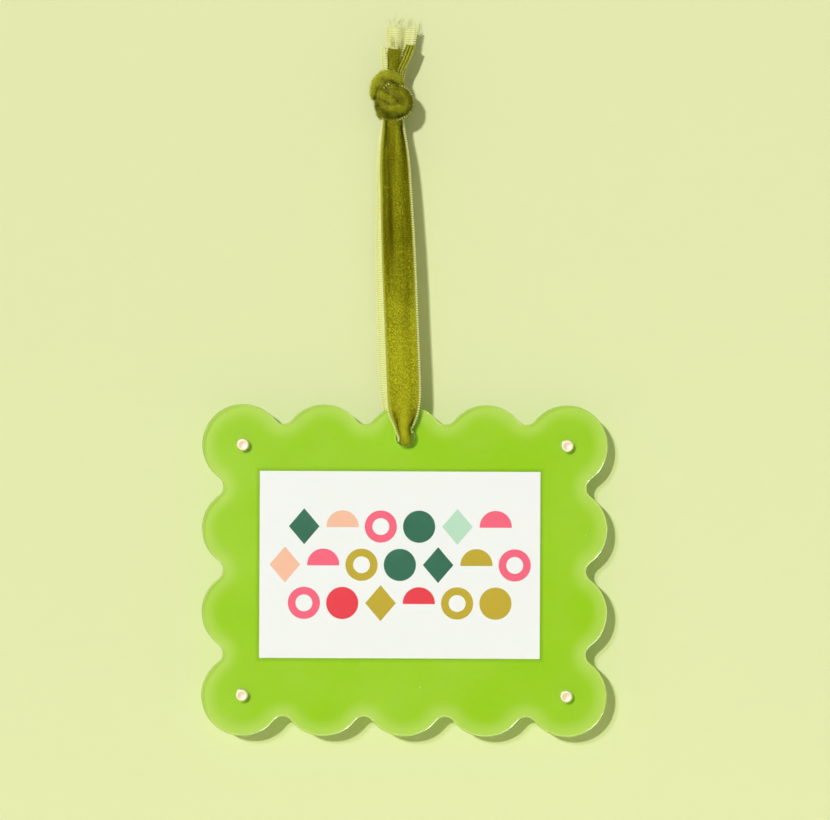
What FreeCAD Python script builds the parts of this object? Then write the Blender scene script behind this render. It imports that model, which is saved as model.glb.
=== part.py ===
import FreeCAD, Part
import math
import os

import Sketcher

# A small picture frame ornament that hangs from a knotted velvet ribbon.
# Two scalloped acrylic panels hold a wallet-size card between them with four pairs of
# disc magnets. The ribbon runs up from the hole at the top, in front and behind.
# Millimetres. X is the width, +Z is up, and the front looks towards -Y.
# The origin is the inside top of the ribbon loop, where a hook or twig carries it.

Vector = FreeCAD.Vector

SIZES = {
    # scalloped outline, shared by both panels
    "scallops_across": 5,
    "scallops_down": 4,
    "scallop_pitch_across": 22.0,
    "scallop_pitch_down": 22.65,
    "scallop_radius": 11.0,
    "valley_radius": 3.0,
    # panels
    "back_thickness": 2.0,
    "front_thickness": 2.0,
    # card between the panels
    "card_width": 76.2,
    "card_height": 50.8,
    "card_thickness": 0.25,
    "card_clearance": 0.05,
    "card_shift_across": -1.3,
    "card_shift_up": 1.5,
    # hanging hole
    "hole_radius": 2.6,
    "hole_below_crest": 8.7,
    # magnets
    "magnet_radius": 1.6,
    "magnet_clearance": 0.05,
    "magnet_thickness": 2.0,
    "magnet_ease": 0.25,
    "magnet_proud": 0.2,
    # ribbon loop
    "ribbon_width": 9.6,
    "ribbon_thickness": 0.8,
    "ribbon_clearance": 0.3,
    "loop_drop": 85.3,
    "loop_lean": 3.75,
    "loop_bow": 1.0,
    "rear_bow_aside": 1.9,
    # knot
    "knot_lower_radius": 3.2,
    "knot_lower_chord": 4.6,
    "knot_lower_height": 5.6,
    "knot_upper_radius": 2.4,
    "knot_upper_chord": 4.2,
    "knot_upper_height": 11.0,
    # cut ends above the knot
    "front_end_top": 19.9,
    "rear_end_top": 26.0,
}

doc = FreeCAD.newDocument("picture_frame_ornament")
sheet = doc.addObject("Spreadsheet::Sheet", "sizes")
for row, (alias, number) in enumerate(SIZES.items(), start=1):
    sheet.set(f"A{row}", alias)
    sheet.set(f"B{row}", str(number))
    sheet.setAlias(f"B{row}", alias)
doc.recompute()


def size(alias):
    """One driving size from the sheet, as a number."""
    return float(getattr(sheet, alias))


# Places that several pieces share, as expressions on the sheet and as numbers
HALF_ACROSS = "(sizes.scallops_across - 1) * sizes.scallop_pitch_across / 2"
HALF_DOWN = "(sizes.scallops_down - 1) * sizes.scallop_pitch_down / 2"
HOLE_UP = f"({HALF_DOWN} + sizes.scallop_radius - sizes.hole_below_crest)"
PANEL_X = "sizes.loop_lean"
PANEL_Z = f"-(sizes.loop_drop + {HOLE_UP})"
HALF_GAP = "(sizes.card_thickness / 2 + sizes.card_clearance)"

half_across = (size("scallops_across") - 1) * size("scallop_pitch_across") / 2
half_down = (size("scallops_down") - 1) * size("scallop_pitch_down") / 2
half_gap = size("card_thickness") / 2 + size("card_clearance")


def place(thing, across, back, up):
    """Bind an object's place to expressions on the sheet."""
    thing.setExpression("Placement.Base.x", across)
    thing.setExpression("Placement.Base.y", back)
    thing.setExpression("Placement.Base.z", up)


def origin_plane(body, role):
    """One of a body's own origin planes, found by its role."""
    return next(feature for feature in body.Origin.OriginFeatures if feature.Role == role)


def front_sketch(body, name):
    """A sketch in the body's own front plane: its x runs across and its y runs up."""
    sketch = body.newObject("Sketcher::SketchObject", name)
    sketch.AttachmentSupport = (origin_plane(body, "XZ_Plane"), [""])
    sketch.MapMode = "FlatFace"
    return sketch


def bind(sketch, index, name, expression):
    """Name a dimension of a sketch and drive it from the sheet."""
    sketch.renameConstraint(index, name)
    sketch.setExpression(f"Constraints.{name}", expression)


def crest_centres():
    """The scallop centres in order round the outline, with the sheet steps that place each."""
    across = int(size("scallops_across"))
    down = int(size("scallops_down"))
    steps = [(column, 0) for column in range(across)]
    steps += [(across - 1, row) for row in range(1, down)]
    steps += [(column, down - 1) for column in range(across - 2, -1, -1)]
    steps += [(0, row) for row in range(down - 2, 0, -1)]
    return steps


def crest_point(step):
    """Centre of one scallop: columns count from the left and rows from the top."""
    column, row = step
    return Vector(
        column * size("scallop_pitch_across") - half_across,
        half_down - row * size("scallop_pitch_down"),
        0,
    )


def valley_point(first, second):
    """Centre of the round valley that touches two neighbouring scallops from outside."""
    middle = (first + second) / 2
    along = second - first
    outward = Vector(-along.y, along.x, 0).normalize()
    reach = size("scallop_radius") + size("valley_radius")
    return middle + outward * math.sqrt(reach**2 - (along.Length / 2) ** 2)


def arc_between(centre, radius, start, end, clockwise):
    """A sketch arc about a centre from one point to another."""
    first = math.atan2(start.y - centre.y, start.x - centre.x)
    last = math.atan2(end.y - centre.y, end.x - centre.x)
    if clockwise:
        first, last = last, first
    if last < first:
        last += 2 * math.pi
    circle = Part.Circle(centre, Vector(0, 0, 1), radius)
    return Part.ArcOfCircle(circle, first, last)


def draw_scallops(sketch):
    """The closed outline: a round crest at each step and a round valley between crests."""
    steps = crest_centres()
    crests = [crest_point(step) for step in steps]
    count = len(crests)
    radius = size("scallop_radius")
    valleys = [valley_point(crests[i], crests[(i + 1) % count]) for i in range(count)]
    touch = size("scallop_radius") / (size("scallop_radius") + size("valley_radius"))

    def contact(crest, valley):
        return crest + (valley - crest) * touch

    # Going round from the top left, each crest turns clockwise from the valley before it
    for i in range(count):
        before = valleys[i - 1]
        after = valleys[i]
        following = crests[(i + 1) % count]
        crest = arc_between(
            crests[i], radius, contact(crests[i], before), contact(crests[i], after), True
        )
        valley = arc_between(
            after,
            size("valley_radius"),
            contact(crests[i], after),
            contact(following, after),
            False,
        )
        sketch.addGeometry(crest)
        sketch.addGeometry(valley)
    centre, start, end = 3, 1, 2
    for i in range(count):
        crest = 2 * i
        valley = 2 * i + 1
        following = (2 * i + 2) % (2 * count)
        # A crest is stored from its later point to its earlier one, so its start is the far end
        sketch.addConstraint(Sketcher.Constraint("Tangent", crest, start, valley, start))
        sketch.addConstraint(Sketcher.Constraint("Tangent", valley, end, following, end))
    for i, (column, row) in enumerate(steps):
        point = crests[i]
        x_rule = Sketcher.Constraint("DistanceX", -1, 1, 2 * i, centre, point.x)
        y_rule = Sketcher.Constraint("DistanceY", -1, 1, 2 * i, centre, point.y)
        across = f"{column} * sizes.scallop_pitch_across - {HALF_ACROSS}"
        up = f"{HALF_DOWN} - {row} * sizes.scallop_pitch_down"
        bind(sketch, sketch.addConstraint(x_rule), f"crest_{i}_across", across)
        bind(sketch, sketch.addConstraint(y_rule), f"crest_{i}_up", up)
    crest_rule = Sketcher.Constraint("Radius", 0, radius)
    valley_rule = Sketcher.Constraint("Radius", 1, size("valley_radius"))
    bind(sketch, sketch.addConstraint(crest_rule), "crest_radius", "sizes.scallop_radius")
    bind(sketch, sketch.addConstraint(valley_rule), "valley_radius", "sizes.valley_radius")
    for i in range(1, count):
        sketch.addConstraint(Sketcher.Constraint("Equal", 0, 2 * i))
        sketch.addConstraint(Sketcher.Constraint("Equal", 1, 2 * i + 1))


def draw_circle(sketch, name, x, y, x_rule, y_rule, radius, radius_rule):
    """A circle in a sketch with its centre and radius driven from the sheet."""
    index = sketch.addGeometry(Part.Circle(Vector(x, y, 0), Vector(0, 0, 1), radius))
    across = Sketcher.Constraint("DistanceX", -1, 1, index, 3, x)
    up = Sketcher.Constraint("DistanceY", -1, 1, index, 3, y)
    width = Sketcher.Constraint("Radius", index, radius)
    bind(sketch, sketch.addConstraint(across), f"{name}_across", x_rule)
    bind(sketch, sketch.addConstraint(up), f"{name}_up", y_rule)
    bind(sketch, sketch.addConstraint(width), f"{name}_radius", radius_rule)


# The corners of a panel: name, and which way each lies from the middle
CORNERS = {
    "top_left": (-1, 1),
    "top_right": (1, 1),
    "bottom_left": (-1, -1),
    "bottom_right": (1, -1),
}


def make_panel(name, thickness, forward):
    """A scalloped panel with its hanging hole and its four magnet seats."""
    body = doc.addObject("PartDesign::Body", name)
    body.Label = name
    outline = front_sketch(body, f"{name}_outline")
    draw_scallops(outline)
    plate = body.newObject("PartDesign::Pad", f"{name}_plate")
    plate.Profile = outline
    plate.setExpression("Length", f"sizes.{thickness}")
    plate.Reversed = not forward
    doc.recompute()
    whole = plate.Shape.Volume

    holes = front_sketch(body, f"{name}_holes")
    hole_up = half_down + size("scallop_radius") - size("hole_below_crest")
    seat_rule = "sizes.magnet_radius + sizes.magnet_clearance"
    seat = size("magnet_radius") + size("magnet_clearance")
    draw_circle(
        holes, "hanging", 0, hole_up, "0", HOLE_UP, size("hole_radius"), "sizes.hole_radius"
    )
    for corner, (side, level) in CORNERS.items():
        draw_circle(
            holes,
            corner,
            side * half_across,
            level * half_down,
            f"{side} * {HALF_ACROSS}",
            f"{level} * {HALF_DOWN}",
            seat,
            seat_rule,
        )
    cut = body.newObject("PartDesign::Pocket", f"{name}_cut")
    cut.Profile = holes
    cut.Type = "ThroughAll"
    cut.Midplane = True
    doc.recompute()
    if not cut.Shape.Volume < whole:
        raise RuntimeError(f"{name}: the holes cut nothing")

    body.Tip = cut
    side = "-" if forward else ""
    place(body, PANEL_X, f"{side}{HALF_GAP}", PANEL_Z)
    return body


def make_card():
    """The card: a flat rectangle between the panels."""
    body = doc.addObject("PartDesign::Body", "photo_card")
    body.Label = "photo_card"
    sketch = front_sketch(body, "photo_card_outline")
    half_width = size("card_width") / 2
    half_height = size("card_height") / 2
    corners = [
        Vector(-half_width, -half_height, 0),
        Vector(half_width, -half_height, 0),
        Vector(half_width, half_height, 0),
        Vector(-half_width, half_height, 0),
    ]
    for i in range(4):
        sketch.addGeometry(Part.LineSegment(corners[i], corners[(i + 1) % 4]))
    for i in range(4):
        sketch.addConstraint(Sketcher.Constraint("Coincident", i, 2, (i + 1) % 4, 1))
    for i in (0, 2):
        sketch.addConstraint(Sketcher.Constraint("Horizontal", i))
        sketch.addConstraint(Sketcher.Constraint("Vertical", i + 1))
    sketch.addConstraint(Sketcher.Constraint("Symmetric", 0, 1, 2, 1, -1, 1))
    width = Sketcher.Constraint("DistanceX", 0, 1, 0, 2, 2 * half_width)
    height = Sketcher.Constraint("DistanceY", 1, 1, 1, 2, 2 * half_height)
    bind(sketch, sketch.addConstraint(width), "width", "sizes.card_width")
    bind(sketch, sketch.addConstraint(height), "height", "sizes.card_height")
    pad = body.newObject("PartDesign::Pad", "photo_card_sheet")
    pad.Profile = sketch
    pad.setExpression("Length", "sizes.card_thickness")
    pad.Midplane = True
    body.Tip = pad
    place(
        body,
        f"{PANEL_X} + sizes.card_shift_across",
        "0",
        f"{PANEL_Z} + sizes.card_shift_up",
    )
    return body


def make_magnet(name, side, level, forward):
    """A disc magnet in its seat, with its outer rim eased."""
    body = doc.addObject("PartDesign::Body", name)
    body.Label = name
    sketch = front_sketch(body, f"{name}_outline")
    draw_circle(
        sketch, "disc", 0, 0, "0", "0", size("magnet_radius"), "sizes.magnet_radius"
    )
    pad = body.newObject("PartDesign::Pad", f"{name}_disc")
    pad.Profile = sketch
    pad.setExpression("Length", "sizes.magnet_thickness")
    pad.Reversed = not forward
    doc.recompute()
    rims = [
        f"Edge{number}"
        for number, edge in enumerate(pad.Shape.Edges, start=1)
        if abs(edge.BoundBox.YMin) > size("magnet_thickness") / 2
        and edge.BoundBox.YLength < size("magnet_ease")
    ]
    eased = body.newObject("PartDesign::Chamfer", f"{name}_rim")
    eased.Base = (pad, rims)
    eased.setExpression("Size", "sizes.magnet_ease")
    body.Tip = eased
    if forward:
        # The front magnets stand a little proud of the clear panel
        outer_face = f"{HALF_GAP} + sizes.front_thickness + sizes.magnet_proud"
        depth = f"-({outer_face} - sizes.magnet_thickness)"
    else:
        # The rear magnets end flush with the back of the green panel
        depth = f"{HALF_GAP} + sizes.back_thickness - sizes.magnet_thickness"
    place(
        body,
        f"{PANEL_X} + {side} * {HALF_ACROSS}",
        depth,
        f"{PANEL_Z} + {level} * {HALF_DOWN}",
    )
    return body


# The gathered ribbon has this many folds side by side, each drawn with this many flats
FOLDS = 3
FLATS_IN_FOLD = 3
# The swing in radians at which the folds close up on themselves, and the halvings to find one
CLOSED_SWING = 2.2
HALVINGS = 40


def folded_line(flat, chord):
    """The middle line of a strip of a given flat width, gathered in even folds to a chord.

    The line's direction swings as a sine of the distance along it, which keeps its length,
    as cloth does. The swing is found by halving until the line spans the chord.
    """
    flats = FOLDS * FLATS_IN_FOLD
    step = flat / flats

    def trace(swing):
        x = 0.0
        y = 0.0
        points = [(x, y)]
        for i in range(flats):
            turn = swing * math.sin((i + 0.5) / flats * FOLDS * math.pi)
            x += math.cos(turn) * step
            y += math.sin(turn) * step
            points.append((x, y))
        return points

    low = 0.0
    high = CLOSED_SWING
    for _ in range(HALVINGS):
        swing = (low + high) / 2
        if trace(swing)[-1][0] > chord:
            low = swing
        else:
            high = swing
    points = trace(low)
    heights = [y for _, y in points]
    middle_x = points[-1][0] / 2
    middle_y = (max(heights) + min(heights)) / 2
    return [(x - middle_x, y - middle_y) for x, y in points]


def strip_outline(chord):
    """Both sides of the folded ribbon as two rows of points, outer side first."""
    half = size("ribbon_thickness") / 2
    line = folded_line(size("ribbon_width") - 2 * half, chord - 2 * half)
    outer = []
    inner = []
    for i, (x, y) in enumerate(line):
        x0, y0 = line[max(i - 1, 0)]
        x1, y1 = line[min(i + 1, len(line) - 1)]
        length = math.hypot(x1 - x0, y1 - y0)
        normal_x = (y0 - y1) / length
        normal_y = (x1 - x0) / length
        outer.append((x + normal_x * half, y + normal_y * half))
        inner.append((x - normal_x * half, y - normal_y * half))
    return outer, inner


def fold_depth(chord):
    """How far the folded ribbon reaches off its middle plane at a chord."""
    outer, inner = strip_outline(chord)
    return max(abs(y) for _, y in outer + inner)


def fold_reach(chord):
    """How far the folded ribbon reaches from its middle line at a chord."""
    outer, inner = strip_outline(chord)
    return max(math.hypot(x, y) for x, y in outer + inner)


def section(station):
    """The closed section of the ribbon at one station.

    A station is the ribbon's middle, the way it runs, the side its width points to and
    its chord.
    """
    middle, way, side, chord = station
    outward = way.cross(side)
    outer, inner = strip_outline(chord)
    ring = outer + inner[::-1]
    ring.append(ring[0])
    return Part.makePolygon([middle + side * x + outward * y for x, y in ring])


def strip(stations):
    """A solid strip of ribbon ruled from each station to the next."""
    return Part.makeLoft([section(station) for station in stations], True, True)


RIGHT = Vector(1, 0, 0)
BACK = Vector(0, 1, 0)
DOWN = Vector(0, 0, -1)
UP = Vector(0, 0, 1)
# The ribbon's chord inside the hole, and where it hangs free and lies almost flat
GATHERED = 4.0
SPREAD = 9.5
# Height above the middle of the hole and chord, where a strand rises along the panel
RISING = [(2.0, 4.6), (3.6, 6.0), (6.0, 8.0), (9.5, 9.2), (15.0, SPREAD)]
# Share of the drop below the loop's top, where a strand hangs free
FREE = [0.62, 0.42]
# Height from the loop's top, distance off the middle and chord, where a strand enters the knot
NECK = [
    (-20.0, 3.2, 9.4),
    (-12.0, 2.7, 8.9),
    (-6.5, 2.1, 7.9),
    (-2.5, 1.7, 6.6),
    (2.5, 1.7, 5.4),
    (9.5, 1.7, 4.8),
]


def strand(face, side, aside):
    """One strand from the panel face up to the knot: side is -1 in front and 1 behind.

    Each entry is its middle and its chord. The strand leans with the loop, and a strand
    that bows aside does so most half way up.
    """
    drop = size("loop_drop")
    clear = size("ribbon_clearance")

    def middle(up, off):
        lean = size("loop_lean") * -up / drop
        bow = aside * math.sin(math.pi * max(-up, 0) / drop)
        return Vector(lean - bow, side * off, up)

    run = []
    for above, chord in RISING:
        run.append((middle(above - drop, face + clear + fold_depth(chord)), chord))
    for share in FREE:
        run.append((middle(-share * drop, face + size("loop_bow")), SPREAD))
    for up, off, chord in NECK:
        # Each strand keeps half of the clearance to the middle plane between the two
        run.append((middle(up, max(off, fold_depth(chord) + clear / 2)), chord))
    return run


def loop_stations():
    """Stations of the ribbon loop: down in front, through the hole and up behind."""
    clear = size("ribbon_clearance")
    front = half_gap + size("front_thickness")
    back = half_gap + size("back_thickness")
    run = strand(front, -1, 0.0)[::-1]
    stations = [(middle, DOWN, RIGHT, chord) for middle, chord in run]
    # The gathered ribbon is pulled up against the top of the hole and bends round its rims
    bend = fold_depth(GATHERED) + clear
    raised = size("hole_radius") - clear - fold_reach(GATHERED)
    across = size("loop_lean")
    up = raised - size("loop_drop")
    slope = math.sqrt(0.5)
    corner = Vector(across, -front - slope * bend, up + bend * (1 - slope))
    stations.append((corner, (BACK + DOWN) * slope, RIGHT, GATHERED))
    stations.append((Vector(across, -front, up), BACK, RIGHT, GATHERED))
    stations.append((Vector(across, back, up), BACK, RIGHT, GATHERED))
    corner = Vector(across, back + slope * bend, up + bend * (1 - slope))
    stations.append((corner, (BACK + UP) * slope, RIGHT, GATHERED))
    run = strand(back, 1, size("rear_bow_aside"))
    stations += [(middle, UP, RIGHT, chord) for middle, chord in run]
    return stations


# Each cut end: its middle line from inside the knot to the cut, and the chord at each point.
# The first point lies below the knot's upper turn and the last is at the cut.
FRONT_END = [(0.0, -0.6, 4.4), (-0.3, -1.8, 5.0), (-0.3, -2.4, 6.4), (-0.2, -2.7, 7.4)]
REAR_END = [(0.3, 0.6, 4.4), (0.7, 1.2, 5.6), (1.4, 1.7, 7.6), (2.1, 1.9, 9.0)]


def cut_end_stations(line, top):
    """Stations of one cut end, spread evenly from the knot's upper turn to the cut."""
    foot = size("knot_upper_height") - size("knot_upper_chord") / 2
    step = (top - foot) / (len(line) - 1)
    return [
        (Vector(across, back, foot + i * step), UP, RIGHT, chord)
        for i, (across, back, chord) in enumerate(line)
    ]


# Each turn of the knot: its middle, the axis it winds about, and the way its ends hide
KNOT_TURNS = {
    "lower": {
        "middle": (0.9, -0.3),
        "axis": Vector(0.25, -0.74, 0.62),
        "hidden": Vector(0, 1, 0),
    },
    "upper": {
        "middle": (-1.4, 0.2),
        "axis": Vector(-0.46, -0.30, 0.84),
        "hidden": Vector(1, 1, 0),
    },
}
STEPS_IN_TURN = 10
# A turn stops this many degrees short of a full ring, shared by its two ends
TURN_GAP = 16.0


def turn_stations(name):
    """Stations of one turn of the knot: nearly a full ring whose ends meet at its hidden side."""
    turn = KNOT_TURNS[name]
    axis = Vector(turn["axis"]).normalize()
    start = turn["hidden"] - axis * turn["hidden"].dot(axis)
    start.normalize()
    across = axis.cross(start)
    middle = Vector(*turn["middle"], size(f"knot_{name}_height"))
    radius = size(f"knot_{name}_radius")
    stations = []
    for i in range(STEPS_IN_TURN + 1):
        angle = math.radians(TURN_GAP / 2 + (360 - TURN_GAP) * i / STEPS_IN_TURN)
        outward = start * math.cos(angle) + across * math.sin(angle)
        way = axis.cross(outward)
        stations.append((middle + outward * radius, way, axis, size(f"knot_{name}_chord")))
    return stations


def make_ribbon():
    """The velvet ribbon: loop, knot and two cut ends, all one piece."""
    lofts = {
        "ribbon_loop": loop_stations(),
        "knot_lower_turn": turn_stations("lower"),
        "knot_upper_turn": turn_stations("upper"),
        "ribbon_front_end": cut_end_stations(FRONT_END, size("front_end_top")),
        "ribbon_rear_end": cut_end_stations(REAR_END, size("rear_end_top")),
    }
    shares = []
    for name, stations in lofts.items():
        loft = doc.addObject("Part::Feature", name)
        loft.Shape = strip(stations)
        shares.append(loft)
    ribbon = doc.addObject("Part::MultiFuse", "ribbon")
    ribbon.Shapes = shares
    ribbon.Label = "ribbon"
    return ribbon


def main():
    """Build every piece, check each one and write it to its own file."""
    pieces = [
        make_panel("back_panel", "back_thickness", False),
        make_panel("front_panel", "front_thickness", True),
        make_card(),
    ]
    for corner, (side, level) in CORNERS.items():
        pieces.append(make_magnet(f"front_magnet_{corner}", side, level, True))
        pieces.append(make_magnet(f"rear_magnet_{corner}", side, level, False))
    pieces.append(make_ribbon())
    doc.recompute()

    for thing in doc.Objects:
        if "Invalid" in thing.State or "Error" in thing.State:
            raise RuntimeError(f"{thing.Name} did not recompute: {thing.State}")
    for piece in pieces:
        shape = piece.Shape
        if shape.isNull() or not shape.isValid() or len(shape.Solids) != 1:
            raise RuntimeError(f"{piece.Label} is not one valid solid")
    os.makedirs("parts", exist_ok=True)
    for piece in pieces:
        box = piece.Shape.BoundBox
        print(
            f"{piece.Label}: volume {piece.Shape.Volume:.1f},",
            f"x {box.XMin:.2f} to {box.XMax:.2f},",
            f"y {box.YMin:.2f} to {box.YMax:.2f},",
            f"z {box.ZMin:.2f} to {box.ZMax:.2f}",
        )
        piece.Shape.exportStep(f"parts/{piece.Label}.step")


main()
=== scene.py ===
import logging
import math
from dataclasses import dataclass, field
from enum import Enum

import bmesh
import bpy
from bpy.types import Material, Node, NodeOutputs, NodeSocket, NodeTree, Object
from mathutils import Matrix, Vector
from mathutils.bvhtree import BVHTree


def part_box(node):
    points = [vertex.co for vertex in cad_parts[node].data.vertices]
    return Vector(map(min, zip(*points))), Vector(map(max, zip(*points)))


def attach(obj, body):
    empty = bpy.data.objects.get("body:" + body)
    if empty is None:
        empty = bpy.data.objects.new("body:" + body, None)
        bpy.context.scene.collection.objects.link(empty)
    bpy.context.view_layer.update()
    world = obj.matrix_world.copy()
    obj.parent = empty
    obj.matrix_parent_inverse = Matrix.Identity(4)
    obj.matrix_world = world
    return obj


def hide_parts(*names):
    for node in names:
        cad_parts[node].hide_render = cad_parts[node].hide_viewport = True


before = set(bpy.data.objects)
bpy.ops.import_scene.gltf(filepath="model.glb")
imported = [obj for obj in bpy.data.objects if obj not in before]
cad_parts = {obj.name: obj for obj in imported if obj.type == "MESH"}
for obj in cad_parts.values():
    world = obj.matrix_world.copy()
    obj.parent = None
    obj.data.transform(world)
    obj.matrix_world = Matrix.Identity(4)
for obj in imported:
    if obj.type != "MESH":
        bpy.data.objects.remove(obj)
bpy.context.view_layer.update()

# A scalloped picture frame ornament on a knotted velvet ribbon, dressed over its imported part.
# Shapes are worked out in millimetres in the part's own frame and written as metres.

MM = 0.001
RIGHT = Vector((1.0, 0.0, 0.0))
UP = Vector((0.0, 0.0, 1.0))
CORNERS = ("top_left", "top_right", "bottom_left", "bottom_right")
ACRYLIC_IOR = 1.49
SEAT_CLEARANCE = 0.05
SHARP = 30.0
RIBBON_WIDTH = 9.6
Colour = tuple[float, float, float, float]
Line = list[tuple[Vector, Vector]]
log = logging.getLogger("ornament")


def box_mm(node: str) -> tuple[Vector, Vector]:
    """The corners of a node of the part.

    Args:
        node: the node's name.

    Returns:
        Its lowest and its highest corner, in millimetres.
    """
    low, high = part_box(node)
    return low / MM, high / MM


def linked(name: str, data: object) -> Object:
    """Make an object and link it to the scene.

    Args:
        name: its name.
        data: its mesh, lamp or camera.

    Returns:
        The object.
    """
    made = bpy.data.objects.new(name, data)
    bpy.context.scene.collection.objects.link(made)
    return made


# Wiring of node trees


@dataclass
class Wiring:
    """A hand for placing and joining the nodes of one tree."""

    tree: NodeTree

    def feed(self, node: Node, inputs: dict) -> Node:
        """Give a node its inputs.

        Args:
            node: the node.
            inputs: by name or number, each a value, a socket, or a node for its first output.

        Returns:
            The same node.
        """
        for name, value in inputs.items():
            value = value.outputs[0] if isinstance(value, Node) else value
            if isinstance(value, NodeSocket):
                self.tree.links.new(value, node.inputs[name])
            else:
                node.inputs[name].default_value = value
        return node

    def add(self, kind: str, inputs: dict | None = None, **settings: object) -> Node:
        """Place one node.

        Args:
            kind: the node's type.
            inputs: what it is fed.
            settings: the node's own settings.

        Returns:
            The new node.
        """
        node = self.tree.nodes.new(kind)
        for name, value in settings.items():
            setattr(node, name, value)
        return self.feed(node, inputs or {})

    def math(self, operation: str, *values: object) -> NodeSocket:
        """The result of one sum on sockets or numbers."""
        return self.add("ShaderNodeMath", dict(enumerate(values)), operation=operation).outputs[0]

    def times(self, *values: object) -> NodeSocket:
        """Two numbers multiplied, and a third added where it is given."""
        return self.math("MULTIPLY" if len(values) == 2 else "MULTIPLY_ADD", *values)

    def most(self, first: object, second: object) -> NodeSocket:
        """The greater of two numbers."""
        return self.math("MAXIMUM", first, second)

    def apart(self, vector: object) -> list[NodeSocket]:
        """The three parts of a vector."""
        return list(self.add("ShaderNodeSeparateXYZ", {0: vector}).outputs)

    def blend(self, share: object, first: object, second: object) -> NodeSocket:
        """A colour between two others, which shows the second where the share is 1."""
        node = self.add("ShaderNodeMix", {0: share, 6: first, 7: second}, data_type="RGBA")
        return node.outputs[2]

    def ramp(self, value: object, start: float, end: float) -> NodeSocket:
        """A mask that rises smoothly from 0 to 1 between two values."""
        given = {0: value, 1: start, 2: end}
        return self.add("ShaderNodeMapRange", given, interpolation_type="SMOOTHSTEP").outputs[0]

    def attribute(self, name: str) -> NodeSocket:
        """The number that a mesh carries under a name."""
        return self.add("ShaderNodeAttribute", attribute_name=name).outputs["Fac"]

    def noise(self, vector: object, scale: object, detail: float) -> NodeSocket:
        """Soft noise on coordinates."""
        given = {"Vector": vector, "Scale": scale, "Detail": detail}
        return self.add("ShaderNodeTexNoise", given).outputs[0]


def new_group(name: str, inputs: dict[str, object], outputs: tuple[str, ...]) -> Wiring:
    """An empty shader node group with its sockets.

    Args:
        name: the group's name.
        inputs: each input's name and default, where a number makes a float and None a vector.
        outputs: the names of the numbers that it puts out.

    Returns:
        The wiring of the group.
    """
    tree = bpy.data.node_groups.new(name, "ShaderNodeTree")
    for label, default in inputs.items():
        kind = "NodeSocketVector" if default is None else "NodeSocketFloat"
        socket = tree.interface.new_socket(label, in_out="INPUT", socket_type=kind)
        if default is not None:
            socket.default_value = default
    for label in outputs:
        tree.interface.new_socket(label, in_out="OUTPUT", socket_type="NodeSocketFloat")
    return Wiring(tree)


class Effects:
    """Shader groups that several finishes share."""

    def __init__(self) -> None:
        """Build each group once."""
        self.wear = self._wear()
        self.weave = self._weave()

    @staticmethod
    def _wear() -> NodeTree:
        """Slow mottling and small flecks of dust.

        Returns:
            The group, with a mottling tone, a mask of flecks and a height.
        """
        inputs = {"Vector": None, "Mottle Scale": 40.0, "Fleck Scale": 260.0, "Fleck Size": 0.05}
        w = new_group("handling_wear", inputs, ("Tone", "Flecks", "Height"))
        given = w.add("NodeGroupInput").outputs
        mottle = w.noise(given["Vector"], given["Mottle Scale"], 3.0)
        spots = {"Vector": given["Vector"], "Scale": given["Fleck Scale"]}
        cells = w.add("ShaderNodeTexVoronoi", spots).outputs
        chosen = w.math("GREATER_THAN", cells["Color"], 0.72)
        near = w.math("LESS_THAN", cells["Distance"], given["Fleck Size"])
        flecks = w.times(chosen, near)
        height = w.times(flecks, 0.6, w.times(mottle, 0.4))
        w.add("NodeGroupOutput", {"Tone": mottle, "Flecks": flecks, "Height": height})
        return w.tree

    @staticmethod
    def _weave() -> NodeTree:
        """Threads crossing at right angles on a cloth's own map, with uneven yarn.

        Returns:
            The group, with the weave's height and its uneven tone.
        """
        inputs = {"Vector": None, "Across": 900.0, "Along": 700.0, "Unevenness": 0.3}
        w = new_group("thread_weave", inputs, ("Height", "Tone"))
        given = w.add("NodeGroupInput").outputs
        ribs = []
        for part, label in zip(w.apart(given["Vector"]), ("Across", "Along")):
            wave = w.math("SINE", w.times(w.times(part, given[label]), math.tau))
            ribs.append(w.times(wave, 0.5, 0.5))
        yarn = w.noise(given["Vector"], given["Along"], 2.0)
        height = w.math("ADD", w.times(*ribs), w.times(yarn, given["Unevenness"]))
        w.add("NodeGroupOutput", {"Height": height, "Tone": yarn})
        return w.tree


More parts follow.
